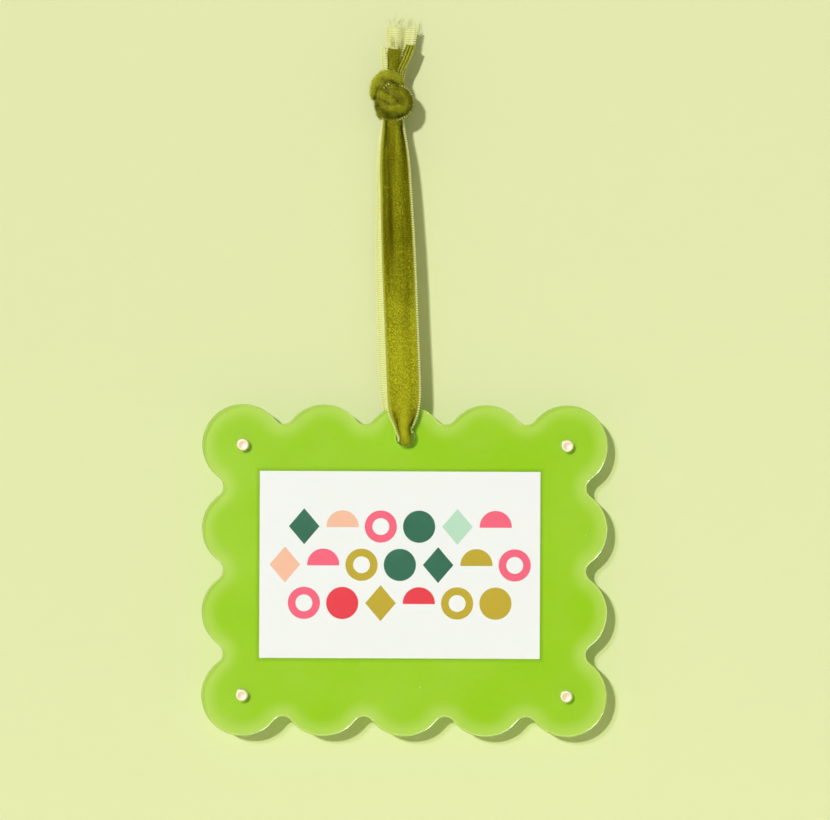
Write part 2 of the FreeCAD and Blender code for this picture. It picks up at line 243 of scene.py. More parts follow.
class Coat(Wiring):
    """The wiring of one new material, with its shader, its coordinates and the shared effects."""

    def __init__(self, tree: NodeTree, effects: Effects) -> None:
        """Take up a material's tree.

        Args:
            tree: the tree, with its principled shader.
            effects: the shared groups.
        """
        super().__init__(tree)
        self.effects = effects
        self.shader = tree.nodes["Principled BSDF"]
        self.place = self.add("ShaderNodeTexCoord").outputs["Object"]

    def worn(self, mottle: float, fleck: float, size: float) -> NodeOutputs:
        """The wear group in its place.

        Args:
            mottle: how fine the mottling is.
            fleck: how close the flecks lie.
            size: how large each is, as a share of its cell.

        Returns:
            The group's outputs.
        """
        given = {"Mottle Scale": mottle, "Fleck Scale": fleck, "Fleck Size": size}
        given["Vector"] = self.place
        return self.add("ShaderNodeGroup", given, node_tree=self.effects.wear).outputs

    def woven(self, across: float, along: float) -> NodeOutputs:
        """The weave group on the cloth's own map, with its threads in a metre each way."""
        given = {"Vector": self.cloth(), "Across": across, "Along": along}
        return self.add("ShaderNodeGroup", given, node_tree=self.effects.weave).outputs

    def cloth(self) -> NodeSocket:
        """The cloth's own map, in metres."""
        return self.add("ShaderNodeUVMap", uv_map="cloth").outputs[0]

    def paint(self, colour: object, height: object, share: float, depth: float, **plain: object) -> None:
        """Give the shader what it needs.

        Args:
            colour: its base colour.
            height: a height from 0 to 1 that its surface follows.
            share: how much of that height shows.
            depth: what a height of 1 measures, in millimetres.
            plain: its other inputs, with underscores for spaces.
        """
        given = {"Height": height, "Strength": share, "Distance": depth * MM}
        self.feed(self.shader, {"Base Color": colour, "Normal": self.add("ShaderNodeBump", given)})
        self.feed(self.shader, {label.replace("_", " "): value for label, value in plain.items()})

    def let_through(self, share: object, tint: object) -> None:
        """Mix the shader with a clear one that lets light straight through.

        Args:
            share: how much of the clear one there is.
            tint: its colour.
        """
        clear = self.add("ShaderNodeBsdfTransparent", {0: tint})
        mixed = self.add("ShaderNodeMixShader", {0: share, 1: self.shader, 2: clear})
        self.feed(self.tree.nodes["Material Output"], {"Surface": mixed})


# Finishes


@dataclass(frozen=True)
class Finish:
    """A finish of the ornament: each kind dresses its own material."""

    name: str

    def build(self, effects: Effects) -> Material:
        """Make the material.

        Args:
            effects: the shared groups.

        Returns:
            The material.
        """
        material = bpy.data.materials.new(self.name)
        material.use_nodes = True
        self.dress(Coat(material.node_tree, effects))
        return material

    def dress(self, w: Coat) -> None:
        """Leave the shader as it comes, where a finish has nothing of its own."""


@dataclass(frozen=True)
class LimeAcrylic(Finish):
    """Dense lime green acrylic, with a painted paler glow towards its polished edges, a painted
    highlight on its rims and walls, and painted shade beside the card.
    """

    card_low: Vector
    card_high: Vector
    body: Colour = (0.335, 0.63, 0.002, 1.0)
    card_shade: Colour = (0.22, 0.43, 0.001, 1.0)
    edge_glow: Colour = (0.53, 0.74, 0.12, 1.0)
    # rim: the pale colour of a painted highlight on the walls and rims, also used for dust flecks.
    rim: Colour = (0.66, 0.80, 0.25, 1.0)
    edge_glow_depth: tuple[float, float] = (5.0, 0.4)
    rim_highlight_depth: tuple[float, float] = (0.5, 0.1)
    card_shade_width: float = 1.4

    def dress(self, w: Coat) -> None:
        """Wire the finish.

        Args:
            w: the material's wiring.
        """
        wear = w.worn(35.0, 230.0, 0.045)
        edge = w.attribute("edge")
        # Painted light: the colour turns paler towards the outline, a painted glow; the random mottled
        # tone blends to the same paler colour.
        edge_glow = w.times(w.ramp(edge, *self.edge_glow_depth), 0.75)
        tone = w.times(w.ramp(wear["Tone"], 0.35, 0.75), 0.22)
        colour = w.blend(w.math("ADD", edge_glow, tone), self.body, self.edge_glow)
        # Painted shade: the green is darkened along the card's outline, where the card would block
        # light.
        colour = w.blend(w.times(self._card_shade_mask(w), 0.7), colour, self.card_shade)
        # Painted highlight: the walls and a thin band along the rims take a pale colour; dust flecks
        # take the same pale colour.
        rim = w.most(w.attribute("wall"), w.ramp(edge, *self.rim_highlight_depth))
        colour = w.blend(w.times(wear["Flecks"], 0.5), w.blend(rim, colour, self.rim), self.rim)
        w.paint(
            colour, wear["Height"], 0.05, 0.05, Roughness=0.22, Specular_IOR_Level=0.3,
            Subsurface_Weight=0.25, Subsurface_Radius=(0.0018, 0.0024, 0.0004),
        )

    def _card_shade_mask(self, w: Coat) -> NodeSocket:
        """A mask of painted shade beside the card: 1 at the card's outline, fading out on both sides of
        it.

        Args:
            w: the material's wiring.

        Returns:
            The mask.
        """
        middle, half = (self.card_low + self.card_high) / 2, (self.card_high - self.card_low) / 2
        parts = w.apart(w.place)
        gaps = []
        for axis in (0, 2):
            off = w.times(parts[axis], 1.0 / MM, -middle[axis])
            gaps.append(w.math("SUBTRACT", w.math("ABSOLUTE", off), half[axis]))
        return w.ramp(w.math("ABSOLUTE", w.most(*gaps)), self.card_shade_width, 0.0)


@dataclass(frozen=True)
class ClearAcrylic(Finish):
    """Clear acrylic that lets the lamps through, a little darker at its edges."""

    glass: Colour = (0.995, 1.0, 0.995, 1.0)
    shade: Colour = (0.985, 0.99, 0.985, 1.0)
    edge_shade: Colour = (0.72, 0.80, 0.58, 1.0)
    bare_wall: float = 0.6

    def dress(self, w: Coat) -> None:
        """Wire the finish.

        Args:
            w: the material's wiring.
        """
        wear = w.worn(18.0, 150.0, 0.03)
        rough = w.math("ADD", w.times(wear["Flecks"], 0.35), 0.015)
        w.paint(
            self.glass, wear["Height"], 0.02, 0.02,
            Roughness=rough, Transmission_Weight=1.0, IOR=ACRYLIC_IOR,
        )
        wall = w.attribute("wall")
        path = w.add("ShaderNodeLightPath").outputs
        lit = w.most(path["Is Shadow Ray"], path["Is Diffuse Ray"])
        bare = w.most(lit, w.times(wall, self.bare_wall))
        w.let_through(bare, w.blend(wall, self.shade, self.edge_shade))


@dataclass(frozen=True)
class DrilledEdge(Finish):
    """The milky wall of a hole drilled through clear acrylic."""

    wall: Colour = (0.80, 0.92, 0.66, 1.0)
    mottle: Colour = (0.70, 0.80, 0.50, 1.0)

    def dress(self, w: Coat) -> None:
        """Wire the finish.

        Args:
            w: the material's wiring.
        """
        wear = w.worn(600.0, 1500.0, 0.1)
        colour = w.blend(w.times(wear["Tone"], 0.4), self.wall, self.mottle)
        w.paint(
            colour, wear["Height"], 0.2, 0.03,
            Roughness=0.3, Transmission_Weight=0.85, IOR=ACRYLIC_IOR,
        )


@dataclass(frozen=True)
class PrintedCard(Finish):
    """White satin card with staggered rows of plain printed shapes."""

    middle: tuple[float, float]
    paper: Colour = (0.94, 0.93, 0.99, 1.0)
    mottle: Colour = (0.55, 0.56, 0.60, 1.0)
    inks: tuple[Colour, ...] = (
        (0.80, 0.035, 0.06, 1.0),
        (0.53, 0.38, 0.02, 1.0),
        (0.93, 0.12, 0.22, 1.0),
        (0.012, 0.11, 0.06, 1.0),
        (0.95, 0.52, 0.38, 1.0),
        (0.50, 0.74, 0.60, 1.0),
    )
    pitch: float = 10.4
    columns: int = 7
    rows: int = 3
    disc: float = 0.42
    hollow: float = 0.22
    diamond: float = 0.40
    squat: float = 0.85

    def dress(self, w: Coat) -> None:
        """Wire the finish: a grid of cells, a shape in each, and an ink for each.

        Args:
            w: the material's wiring.
        """
        parts = w.apart(w.place)
        across = w.times(parts[0], 1.0 / MM, -self.middle[0])
        up = w.times(parts[2], 1.0 / MM, -self.middle[1])
        row = w.math("FLOOR", w.times(up, 1.0 / self.pitch, 0.5))
        odd = w.math("PINGPONG", row, 1.0)
        shifted = w.times(odd, 0.5, w.math("DIVIDE", across, self.pitch))
        column = w.math("FLOOR", w.math("ADD", shifted, 0.5))
        x = w.math("SUBTRACT", shifted, column)
        y = w.math("SUBTRACT", w.math("DIVIDE", up, self.pitch), row)
        off = w.math("ABSOLUTE", w.times(odd, -0.5, column))
        side = w.math("LESS_THAN", off, self.columns / 2)
        level = w.math("LESS_THAN", w.math("ABSOLUTE", row), self.rows / 2)
        printed = w.times(self._shapes(w, x, y, row, column), w.times(side, level))
        cell = w.add("ShaderNodeCombineXYZ", {0: column, 1: row, 2: 0.0})
        dice = w.add("ShaderNodeTexWhiteNoise", {"Vector": cell}, noise_dimensions="3D")
        wear = w.worn(60.0, 900.0, 0.1)
        paper = w.blend(w.times(wear["Tone"], 0.05), self.paper, self.mottle)
        w.paint(
            w.blend(printed, paper, self._ink(w, dice.outputs["Value"])), wear["Height"], 0.1, 0.01,
            Specular_IOR_Level=0.25, Roughness=w.times(printed, -0.12, 0.60),
        )

    def _shapes(self, w: Coat, x: object, y: object, row: object, column: object) -> NodeSocket:
        """The shape of each cell: a disc, a diamond, a half disc or a ring.

        Args:
            w: the material's wiring.
            x: how far across its cell a place is.
            y: how far up it is.
            row: the cell's row.
            column: the cell's column.

        Returns:
            A mask that is 1 on the shape.
        """
        radius = w.math("SQRT", w.math("ADD", w.times(x, x), w.times(y, y)))
        disc = w.math("LESS_THAN", radius, self.disc)
        half = w.times(disc, w.math("GREATER_THAN", y, -0.02))
        lozenge = w.math("ADD", w.math("ABSOLUTE", x), w.times(w.math("ABSOLUTE", y), self.squat))
        diamond = w.math("LESS_THAN", lozenge, self.diamond)
        ring = w.times(disc, w.math("GREATER_THAN", radius, self.hollow))
        kind = w.math("MODULO", w.math("ADD", w.times(row, 3.0, column), 40.0), 4.0)
        printed = 0.0
        for number, shape in enumerate((disc, diamond, half, ring)):
            chosen = w.math("COMPARE", kind, float(number), 0.1)
            printed = w.most(w.times(chosen, shape), printed)
        return printed

    def _ink(self, w: Coat, value: NodeSocket) -> NodeSocket:
        """One of the inks for a number from 0 to 1.

        Args:
            w: the material's wiring.
            value: the number.

        Returns:
            The ink's colour.
        """
        node = w.add("ShaderNodeValToRGB", {0: value})
        node.color_ramp.interpolation = "CONSTANT"
        stops = node.color_ramp.elements
        stops[0].color = self.inks[0]
        stops[1].position = 1.0 / len(self.inks)
        stops[1].color = self.inks[1]
        for number, colour in enumerate(self.inks[2:], start=2):
            stops.new(number / len(self.inks)).color = colour
        return node.outputs[0]


@dataclass(frozen=True)
class RosePlating(Finish):
    """Pale rose gold plating, with painted shade: darker peach in the dished middle."""

    plate: Colour = (0.90, 0.80, 0.56, 1.0)
    dish: Colour = (0.88, 0.68, 0.54, 1.0)

    def dress(self, w: Coat) -> None:
        """Wire the finish.

        Args:
            w: the material's wiring.
        """
        wear = w.worn(900.0, 2600.0, 0.12)
        # Painted shade: the dished middle of each disc is coloured darker peach.
        colour = w.blend(w.attribute("dish"), self.plate, self.dish)
        rough = w.times(wear["Tone"], 0.2, 0.38)
        w.paint(colour, wear["Height"], 0.15, 0.02, Metallic=0.3, Roughness=rough)


@dataclass(frozen=True)
class Velvet(Finish):
    """What the velvet's ground and its fibres share."""

    # Painted shade: the dark colour laid into the creases and hollows of the folds.
    crease: Colour = (0.045, 0.036, 0.0005, 1.0)
    sheen: Colour = (0.90, 0.92, 0.04, 1.0)
    specular: float = 0.04
    paler_below: tuple[float, float] = (-0.030, -0.062)

    def lower(self, w: Coat) -> NodeSocket:
        """A mask of the strands' lower stretch, where the pile is coloured paler."""
        return w.ramp(w.apart(w.place)[2], *self.paler_below)


@dataclass(frozen=True)
class MossVelvet(Velvet):
    """Short moss green pile with pale woven selvedges, painted shade in creases and lengthwise streaks,
    and painted highlights on ridges.
    """

    pile: Colour = (0.19, 0.185, 0.001, 1.0)
    # The pale pile colour, shown lower down, in random patches and as the painted highlight on ridges.
    pale_pile_and_highlight: Colour = (0.56, 0.56, 0.02, 1.0)
    streak_shade: Colour = (0.13, 0.095, 0.0005, 1.0)
    selvedge: Colour = (0.40, 0.40, 0.06, 1.0)
    streak_scale: tuple[float, float, float] = (330.0, 26.0, 0.0)

    def dress(self, w: Coat) -> None:
        """Wire the finish.

        Args:
            w: the material's wiring.
        """
        weave = w.woven(4200.0, 3400.0)
        wear = w.worn(85.0, 2400.0, 0.16)
        grain = w.ramp(w.noise(w.place, 3000.0, 1.0), 0.40, 0.62)
        lower = self.lower(w)
        # The pile is coloured paler down the strands' lower stretch and in random mottled patches.
        lie = w.times(lower, 0.72, w.times(w.ramp(wear["Tone"], 0.36, 0.66), 0.35))
        # Painted highlight: the ridges of the folds are made paler through the crest number.
        lie = w.times(w.attribute("crest"), 0.85, lie)
        colour = w.blend(w.times(grain, 0.30, lie), self.pile, self.pale_pile_and_highlight)
        # Painted shade: dark lengthwise streaks along the cloth, strongest higher up the strands.
        stretch = {0: w.cloth(), 1: self.streak_scale}
        drawn = w.add("ShaderNodeVectorMath", stretch, operation="MULTIPLY")
        streak_mask = w.ramp(w.noise(drawn, 1.0, 2.0), 0.44, 0.62)
        streak_shade = w.times(streak_mask, w.times(lower, -0.75, 1.0))
        colour = w.blend(w.times(streak_shade, 0.8), colour, self.streak_shade)
        shade = w.times(w.math("SUBTRACT", 1.0, grain), 0.28)
        # Painted shade in the creases; the grain's darker specks take the same dark colour.
        colour = w.blend(w.most(shade, w.attribute("crease")), colour, self.crease)
        colour = w.blend(w.attribute("selvedge"), colour, self.selvedge)
        w.paint(
            colour, weave["Height"], 0.55, 0.12, Roughness=0.85, Specular_IOR_Level=self.specular,
            Sheen_Weight=0.15, Sheen_Roughness=0.35, Sheen_Tint=self.sheen,
        )


@dataclass(frozen=True)
class PileFibre(Velvet):
    """Velvet fibres, darkened at the foot as painted shade and paler at the tip as painted sheen."""

    # foot: painted shade among the pile; tip: painted sheen, shown by the pale share.
    foot: Colour = (0.115, 0.11, 0.001, 1.0)
    tip: Colour = (0.80, 0.80, 0.04, 1.0)

    def dress(self, w: Coat) -> None:
        """Wire the finish.

        Args:
            w: the material's wiring.
        """
        wear = w.worn(280.0, 2400.0, 0.16)
        lie = w.times(w.ramp(wear["Tone"], 0.40, 0.62), 0.26)
        # Fibres are paler down the strands' lower stretch, in random patches and at random.
        pale_and_highlight = w.times(self.lower(w), 0.46, lie)
        # Painted highlight: fibres on the ridges are made paler through the crest number.
        pale_and_highlight = w.times(w.attribute("crest"), 0.8, pale_and_highlight)
        pale_and_highlight = w.times(w.math("POWER", w.attribute("tone"), 2.0), 0.44, pale_and_highlight)
        reach = w.math("MINIMUM", w.times(w.attribute("tip"), pale_and_highlight), 1.0)
        # Painted shade: fibres in the creases take the dark colour.
        colour = w.blend(w.attribute("crease"), w.blend(reach, self.foot, self.tip), self.crease)
        w.paint(
            colour, wear["Height"], 0.2, 0.02, Roughness=0.7, Specular_IOR_Level=self.specular,
            Sheen_Weight=0.1, Sheen_Tint=self.sheen,
        )


@dataclass(frozen=True)
class SatinBacking(Finish):
    """The ribbon's pale woven back."""

    yarn: Colour = (0.90, 0.92, 0.50, 1.0)
    gap: Colour = (0.58, 0.60, 0.17, 1.0)

    def dress(self, w: Coat) -> None:
        """Wire the finish.

        Args:
            w: the material's wiring.
        """
        weave = w.woven(5200.0, 1660.0)
        colour = w.blend(w.ramp(weave["Height"], 0.1, 0.8), self.gap, self.yarn)
        w.paint(colour, weave["Height"], 0.5, 0.08, Roughness=0.55, Sheen_Weight=0.3)


@dataclass(frozen=True)
class EdgeThread(Finish):
    """Pale shiny thread of the picot loops and of the frayed ends."""

    thread: Colour = (0.92, 0.93, 0.42, 1.0)
    mottle: Colour = (0.60, 0.60, 0.14, 1.0)

    def dress(self, w: Coat) -> None:
        """Wire the finish.

        Args:
            w: the material's wiring.
        """
        wear = w.worn(700.0, 3000.0, 0.1)
        colour = w.blend(w.times(wear["Tone"], 0.5), self.thread, self.mottle)
        w.paint(colour, wear["Height"], 0.3, 0.03, Roughness=0.45)


@dataclass(frozen=True)
class PaleStage(Finish):
    """The pale backdrop and floor. Seen from behind, and by lamps, it isn't there."""

    colour: Colour = (0.75, 0.785, 0.455, 1.0)
    darker: float = 0.97

    def dress(self, w: Coat) -> None:
        """Wire the finish.

        Args:
            w: the material's wiring.
        """
        darker = (*(self.darker * part for part in self.colour[:3]), 1.0)
        colour = w.blend(w.noise(w.place, 6.0, 2.0), self.colour, darker)
        plain = {"Base Color": colour, "Roughness": 0.9, "Specular IOR Level": 0.1}
        w.feed(w.shader, plain)
        behind = w.add("ShaderNodeNewGeometry").outputs["Backfacing"]
        shadow = w.add("ShaderNodeLightPath").outputs["Is Shadow Ray"]
        w.let_through(w.most(behind, shadow), (1.0, 1.0, 1.0, 1.0))


# Meshes


class MeshMaker:
    """A mesh in the making: points in millimetres, faces, and numbers carried by points."""

    def __init__(self, *carried: str) -> None:
        """Start an empty mesh.

        Args:
            carried: the names of the numbers that its points will carry.
        """
        self.bm = bmesh.new()
        self.map = self.bm.loops.layers.uv.new("cloth")
        for name in carried:
            self.bm.verts.layers.float.new(name)

    def point(self, place: Vector, **carried: float) -> bmesh.types.BMVert:
        """Add one point.

        Args:
            place: where it is, in millimetres.
            carried: numbers that it carries, by layer.

        Returns:
            The point.
        """
        vert = self.bm.verts.new(place * MM)
        for name, value in carried.items():
            vert[self.bm.verts.layers.float[name]] = value
        return vert

    def band(self, first: list, second: list, finish: int = 0) -> None:
        """Join two closed rows of points with a band of faces.

        Args:
            first: one row.
            second: the other row, with as many points.
            finish: the number of the band's finish.
        """
        for i in range(len(first)):
            face = self.bm.faces.new((first[i - 1], first[i], second[i], second[i - 1]))
            face.material_index = finish

    def stack(self, rows: list[list]) -> None:
        """Join closed rows one after another and close both ends.

        Args:
            rows: the rows, each with as many points.
        """
        for first, second in zip(rows, rows[1:]):
            self.band(first, second)
        self.bm.faces.new(rows[0])
        self.bm.faces.new(rows[-1])

    def finish(self, name: str, finishes: list[Material], sharp: float | None = None) -> Object:
        """Turn the mesh into an object.

        Args:
            name: the piece's name.
            finishes: its materials in order.
            sharp: the angle in degrees from which an edge is sharp, or None.

        Returns:
            The object, linked to the scene.
        """
        bmesh.ops.recalc_face_normals(self.bm, faces=self.bm.faces)
        for face in self.bm.faces:
            face.smooth = True
        if sharp is not None:
            for edge in self.bm.edges:
                edge.smooth = edge.calc_face_angle(0.0) < math.radians(sharp)
        mesh = bpy.data.meshes.new(name)
        self.bm.to_mesh(mesh)
        self.bm.free()
        for finish in finishes:
            mesh.materials.append(finish)
        return linked(name, mesh)


@dataclass
class ScallopOutline:
    """The outline that both panels share: round crests joined by round valleys."""

    centre: Vector
    across: int = 5
    down: int = 4
    crest: float = 11.0
    valley: float = 3.0
    pitch_across: float = 22.0
    pitch_down: float = 22.65
    step: float = math.radians(6.0)
    fewest: int = 8
    valley_steps: int = 12

    def crests(self) -> list[Vector]:
        """The crest centres in order round the outline, clockwise as the front is seen.

        Returns:
            The centres, across and up from the panel's middle.
        """
        spots = [(c, 0) for c in range(self.across)]
        spots += [(self.across - 1, r) for r in range(1, self.down)]
        spots += [(c, self.down - 1) for c in range(self.across - 2, -1, -1)]
        spots += [(0, r) for r in range(self.down - 2, 0, -1)]
        left = -(self.across - 1) / 2
        top = (self.down - 1) / 2
        return [
            Vector(((left + c) * self.pitch_across, (top - r) * self.pitch_down))
            for c, r in spots
        ]

    def valleys(self, crests: list[Vector]) -> list[Vector]:
        """The centre of the valley after each crest.

        Args:
            crests: the crest centres in order.

        Returns:
            The valley centres in the same order.
        """
        reach = self.crest + self.valley
        made = []
        for i, first in enumerate(crests):
            along = crests[(i + 1) % len(crests)] - first
            outward = Vector((-along.y, along.x)).normalized()
            made.append(first + along / 2 + outward * math.sqrt(reach**2 - along.length_squared / 4))
        return made

    @staticmethod
    def arc(centre: Vector, radius: float, first: float, last: float, count: int) -> list[Vector]:
        """Points of an arc, its last one left out.

        Args:
            centre: its centre.
            radius: its radius.
            first: the angle it starts at.
            last: the angle it ends at.
            count: how many steps it has.

        Returns:
            The points.
        """
        angles = [first + (last - first) * i / count for i in range(count)]
        return [centre + Vector((math.cos(a), math.sin(a))) * radius for a in angles]

    def line(self, inset: float) -> list[Vector]:
        """The outline drawn in by a distance, with the same number of points each time.

        Args:
            inset: how far inside the real outline it runs.

        Returns:
            Its points, as across and up from the panel's middle.
        """
        crests = self.crests()
        valleys = self.valleys(crests)
        made = []
        for i, centre in enumerate(crests):
            before = valleys[i - 1] - centre
            after = valleys[i] - centre
            start = math.atan2(before.y, before.x)
            end = math.atan2(after.y, after.x)
            end -= math.tau if end > start else 0.0
            count = max(self.fewest, round((start - end) / self.step))
            made += self.arc(centre, self.crest - inset, start, end, count)
            back = crests[(i + 1) % len(crests)] - valleys[i]
            first = math.atan2(-after.y, -after.x)
            last = math.atan2(back.y, back.x)
            last += math.tau if last < first else 0.0
            made += self.arc(valleys[i], self.valley + inset, first, last, self.valley_steps)
        return made


@dataclass
class Seat:
    """A round hole through a panel."""

    across: float
    up: float
    radius: float

    def line(self, grown: float, count: int = 48) -> list[Vector]:
        """The rim as points, clockwise as the outline runs.

        Args:
            grown: how much wider than the hole it is.
            count: how many points it has.

        Returns:
            The points.
        """
        centre = Vector((self.across, self.up))
        return ScallopOutline.arc(centre, self.radius + grown, math.tau, 0.0, count)


@dataclass
class ScallopedPanel:
    """One acrylic panel with polished walls and a fine ease along every rim."""

    name: str
    node: str
    slot: str
    finish: Material
    outline: ScallopOutline
    holes: list[Seat]
    drilled: Material | None = None
    countersink: float = 0.14
    ease: float = 0.14
    insets: tuple[float, ...] = (0.5, 1.2, 2.4, 4.0, 5.6)

    def build(self) -> Object:
        """Build the panel over its node.

        Returns:
            The piece.
        """
        low, high = box_mm(self.node)
        maker = MeshMaker("edge", "wall")
        rims = []
        for face, inward in ((low.y, self.ease), (high.y, -self.ease)):
            rims.append(self._face(maker, face, inward))
        for number, (front, back) in enumerate(zip(*rims)):
            maker.band(front, back, self._wall_finish(number))
        finishes = [self.finish] + ([self.drilled] if self.drilled else [])
        made = maker.finish(self.name, finishes, SHARP)
        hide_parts(self.node)
        return made

    def _wall_finish(self, number: int) -> int:
        """The finish of a wall: the hanging hole, the first one, may have its own."""
        return int(number == 1 and self.drilled is not None)

    def _loop(self, maker: MeshMaker, line: list[Vector], y: float, edge: float, wall: float) -> list:
        """A closed row of points on the panel.

        Args:
            maker: the mesh in the making.
            line: the row, across and up from the panel's middle.
            y: how far back it lies.
            edge: how far it is from the outline.
            wall: 1 on a wall and 0 on a face.

        Returns:
            The points.
        """
        centre = self.outline.centre
        return [
            maker.point(Vector((centre.x + p.x, y, centre.z + p.y)), edge=edge, wall=wall)
            for p in line
        ]

    def _face(self, maker: MeshMaker, y: float, step: float) -> list[list]:
        """One face: rings that follow the outline, an inner field, and the eased rims.

        Args:
            maker: the mesh in the making.
            y: where the face lies.
            step: how far its rims are eased towards the other face.

        Returns:
            The rows of points on the walls, outline first and then the holes.
        """
        rim = self._loop(maker, self.outline.line(0.0), y + step, 0.0, 1.0)
        rows = [self._loop(maker, self.outline.line(self.ease), y, self.ease, 0.0)]
        rows += [self._loop(maker, self.outline.line(i), y, i, 0.0) for i in self.insets]
        for outer, inner in zip([rim, *rows], rows):
            maker.band(outer, inner)
        border = [maker.bm.edges.get((rows[-1][i - 1], rows[-1][i])) for i in range(len(rows[-1]))]
        walls = [rim]
        depth = self.insets[-1]
        for number, hole in enumerate(self.holes, start=1):
            wide = self.countersink if number == 1 else self.ease
            inward = math.copysign(wide, step)
            top = self._loop(maker, hole.line(wide), y, depth, 0.0)
            wall = self._loop(maker, hole.line(0.0), y + inward, 1.0, 1.0)
            maker.band(top, wall, self._wall_finish(number))
            border += [maker.bm.edges.get((top[i - 1], top[i])) for i in range(len(top))]
            walls.append(wall)
        bmesh.ops.triangle_fill(maker.bm, use_beauty=True, edges=border)
        return walls


@dataclass
class PhotoCard:
    """The card between the panels, with soft cut edges."""

    finish: Material
    ease: float = 0.05

    def build(self) -> Object:
        """Build the card over its node.

        Returns:
            The piece.
        """
        low, high = box_mm("photo_card")
        middle = (low + high) / 2
        half = (high - low) / 2
        maker = MeshMaker()
        rows = []
        front, back = low.y + self.ease, high.y - self.ease
        for y, drawn_in in ((low.y, self.ease), (front, 0.0), (back, 0.0), (high.y, self.ease)):
            width, height = half.x - drawn_in, half.z - drawn_in
            corners = ((-width, -height), (width, -height), (width, height), (-width, height))
            rows.append([maker.point(Vector((middle.x + x, y, middle.z + z))) for x, z in corners])
        maker.stack(rows)
        made = maker.finish("photo_card_print", [self.finish], SHARP)
        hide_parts("photo_card")
        return made


# Repeated pieces


class Tree:
    """A geometry node tree with named inputs, used once on a piece."""

    def __init__(self, name: str, inputs: dict[str, object]) -> None:
        """Start the tree.

        Args:
            name: its name.
            inputs: the name and value of each input, a number or a material.
        """
        self.values = inputs
        self.w = Wiring(bpy.data.node_groups.new(name, "GeometryNodeTree"))
        face = self.w.tree.interface
        face.new_socket("Geometry", in_out="INPUT", socket_type="NodeSocketGeometry")
        self.keys = {}
        for label, value in inputs.items():
            kind = "NodeSocketMaterial" if isinstance(value, Material) else "NodeSocketFloat"
            kind = "NodeSocketInt" if isinstance(value, int) else kind
            socket = face.new_socket(label, in_out="INPUT", socket_type=kind)
            self.keys[label] = socket.identifier
        face.new_socket("Geometry", in_out="OUTPUT", socket_type="NodeSocketGeometry")
        self.given = self.w.add("NodeGroupInput").outputs
        self.made = self.w.add("NodeGroupOutput")

    def spaced(self, label: str) -> Node:
        """Points at an even distance along the loose edges that the tree is fed.

        Args:
            label: the name of the input that holds the distance.

        Returns:
            The node that puts them out.
        """
        curve = self.w.add("GeometryNodeMeshToCurve", {0: self.given["Geometry"]})
        inputs = {"Curve": curve, "Length": self.given[label]}
        return self.w.add("GeometryNodeResampleCurve", inputs, mode="LENGTH")

    def chance(self, low: object, high: object) -> NodeSocket:
        """A random number or vector for each point, from the tree's own seed.

        Args:
            low: the lowest.
            high: the highest.

        Returns:
            The value.
        """
        kind, first = ("FLOAT", 2) if isinstance(low, float) else ("FLOAT_VECTOR", 0)
        inputs = {first: low, first + 1: high, "Seed": self.given["Seed"]}
        return self.w.add("FunctionNodeRandomValue", inputs, data_type=kind).outputs[first // 2]

    def kept(self, name: str, geometry: object, value: object) -> Node:
        """Geometry whose points carry a number under a name.

        Args:
            name: the name.
            geometry: the geometry.
            value: the number.

        Returns:
            The node that puts it out.
        """
        inputs = {"Geometry": geometry, "Name": name, "Value": value}
        return self.w.add("GeometryNodeStoreNamedAttribute", inputs, data_type="FLOAT")

    def close(self, instances: dict) -> None:
        """End the tree: instances on their points, made real and smooth, in their finish.

        Args:
            instances: the inputs of the node that sets them on their points.
        """
        placed = self.w.add("GeometryNodeInstanceOnPoints", instances)
        real = self.w.add("GeometryNodeRealizeInstances", {0: placed})
        smooth = self.w.add("GeometryNodeSetShadeSmooth", {0: real})
        inputs = {0: smooth, "Material": self.given["Finish"]}
        dressed = self.w.add("GeometryNodeSetMaterial", inputs)
        self.w.feed(self.made, {0: dressed})

    def run(self, carrier: Object, name: str) -> Object:
        """Run the tree on an object and keep the result as a plain mesh.

        Args:
            carrier: the object that feeds the tree, which is removed afterwards.
            name: the new piece's name.

        Returns:
            The piece.
        """
        modifier = carrier.modifiers.new("tree", "NODES")
        modifier.node_group = self.w.tree
        for label, value in self.values.items():
            modifier[self.keys[label]] = value
        bpy.context.view_layer.update()
        graph = bpy.context.evaluated_depsgraph_get()
        mesh = bpy.data.meshes.new_from_object(carrier.evaluated_get(graph))
        carrier.modifiers.remove(modifier)
        bpy.data.objects.remove(carrier)
        mesh.name = name
        return linked(name, mesh)


class MagnetSide(Enum):
    """Which panel a row of magnets sits in, and the way its discs face."""

    FRONT = -1.0
    REAR = 1.0


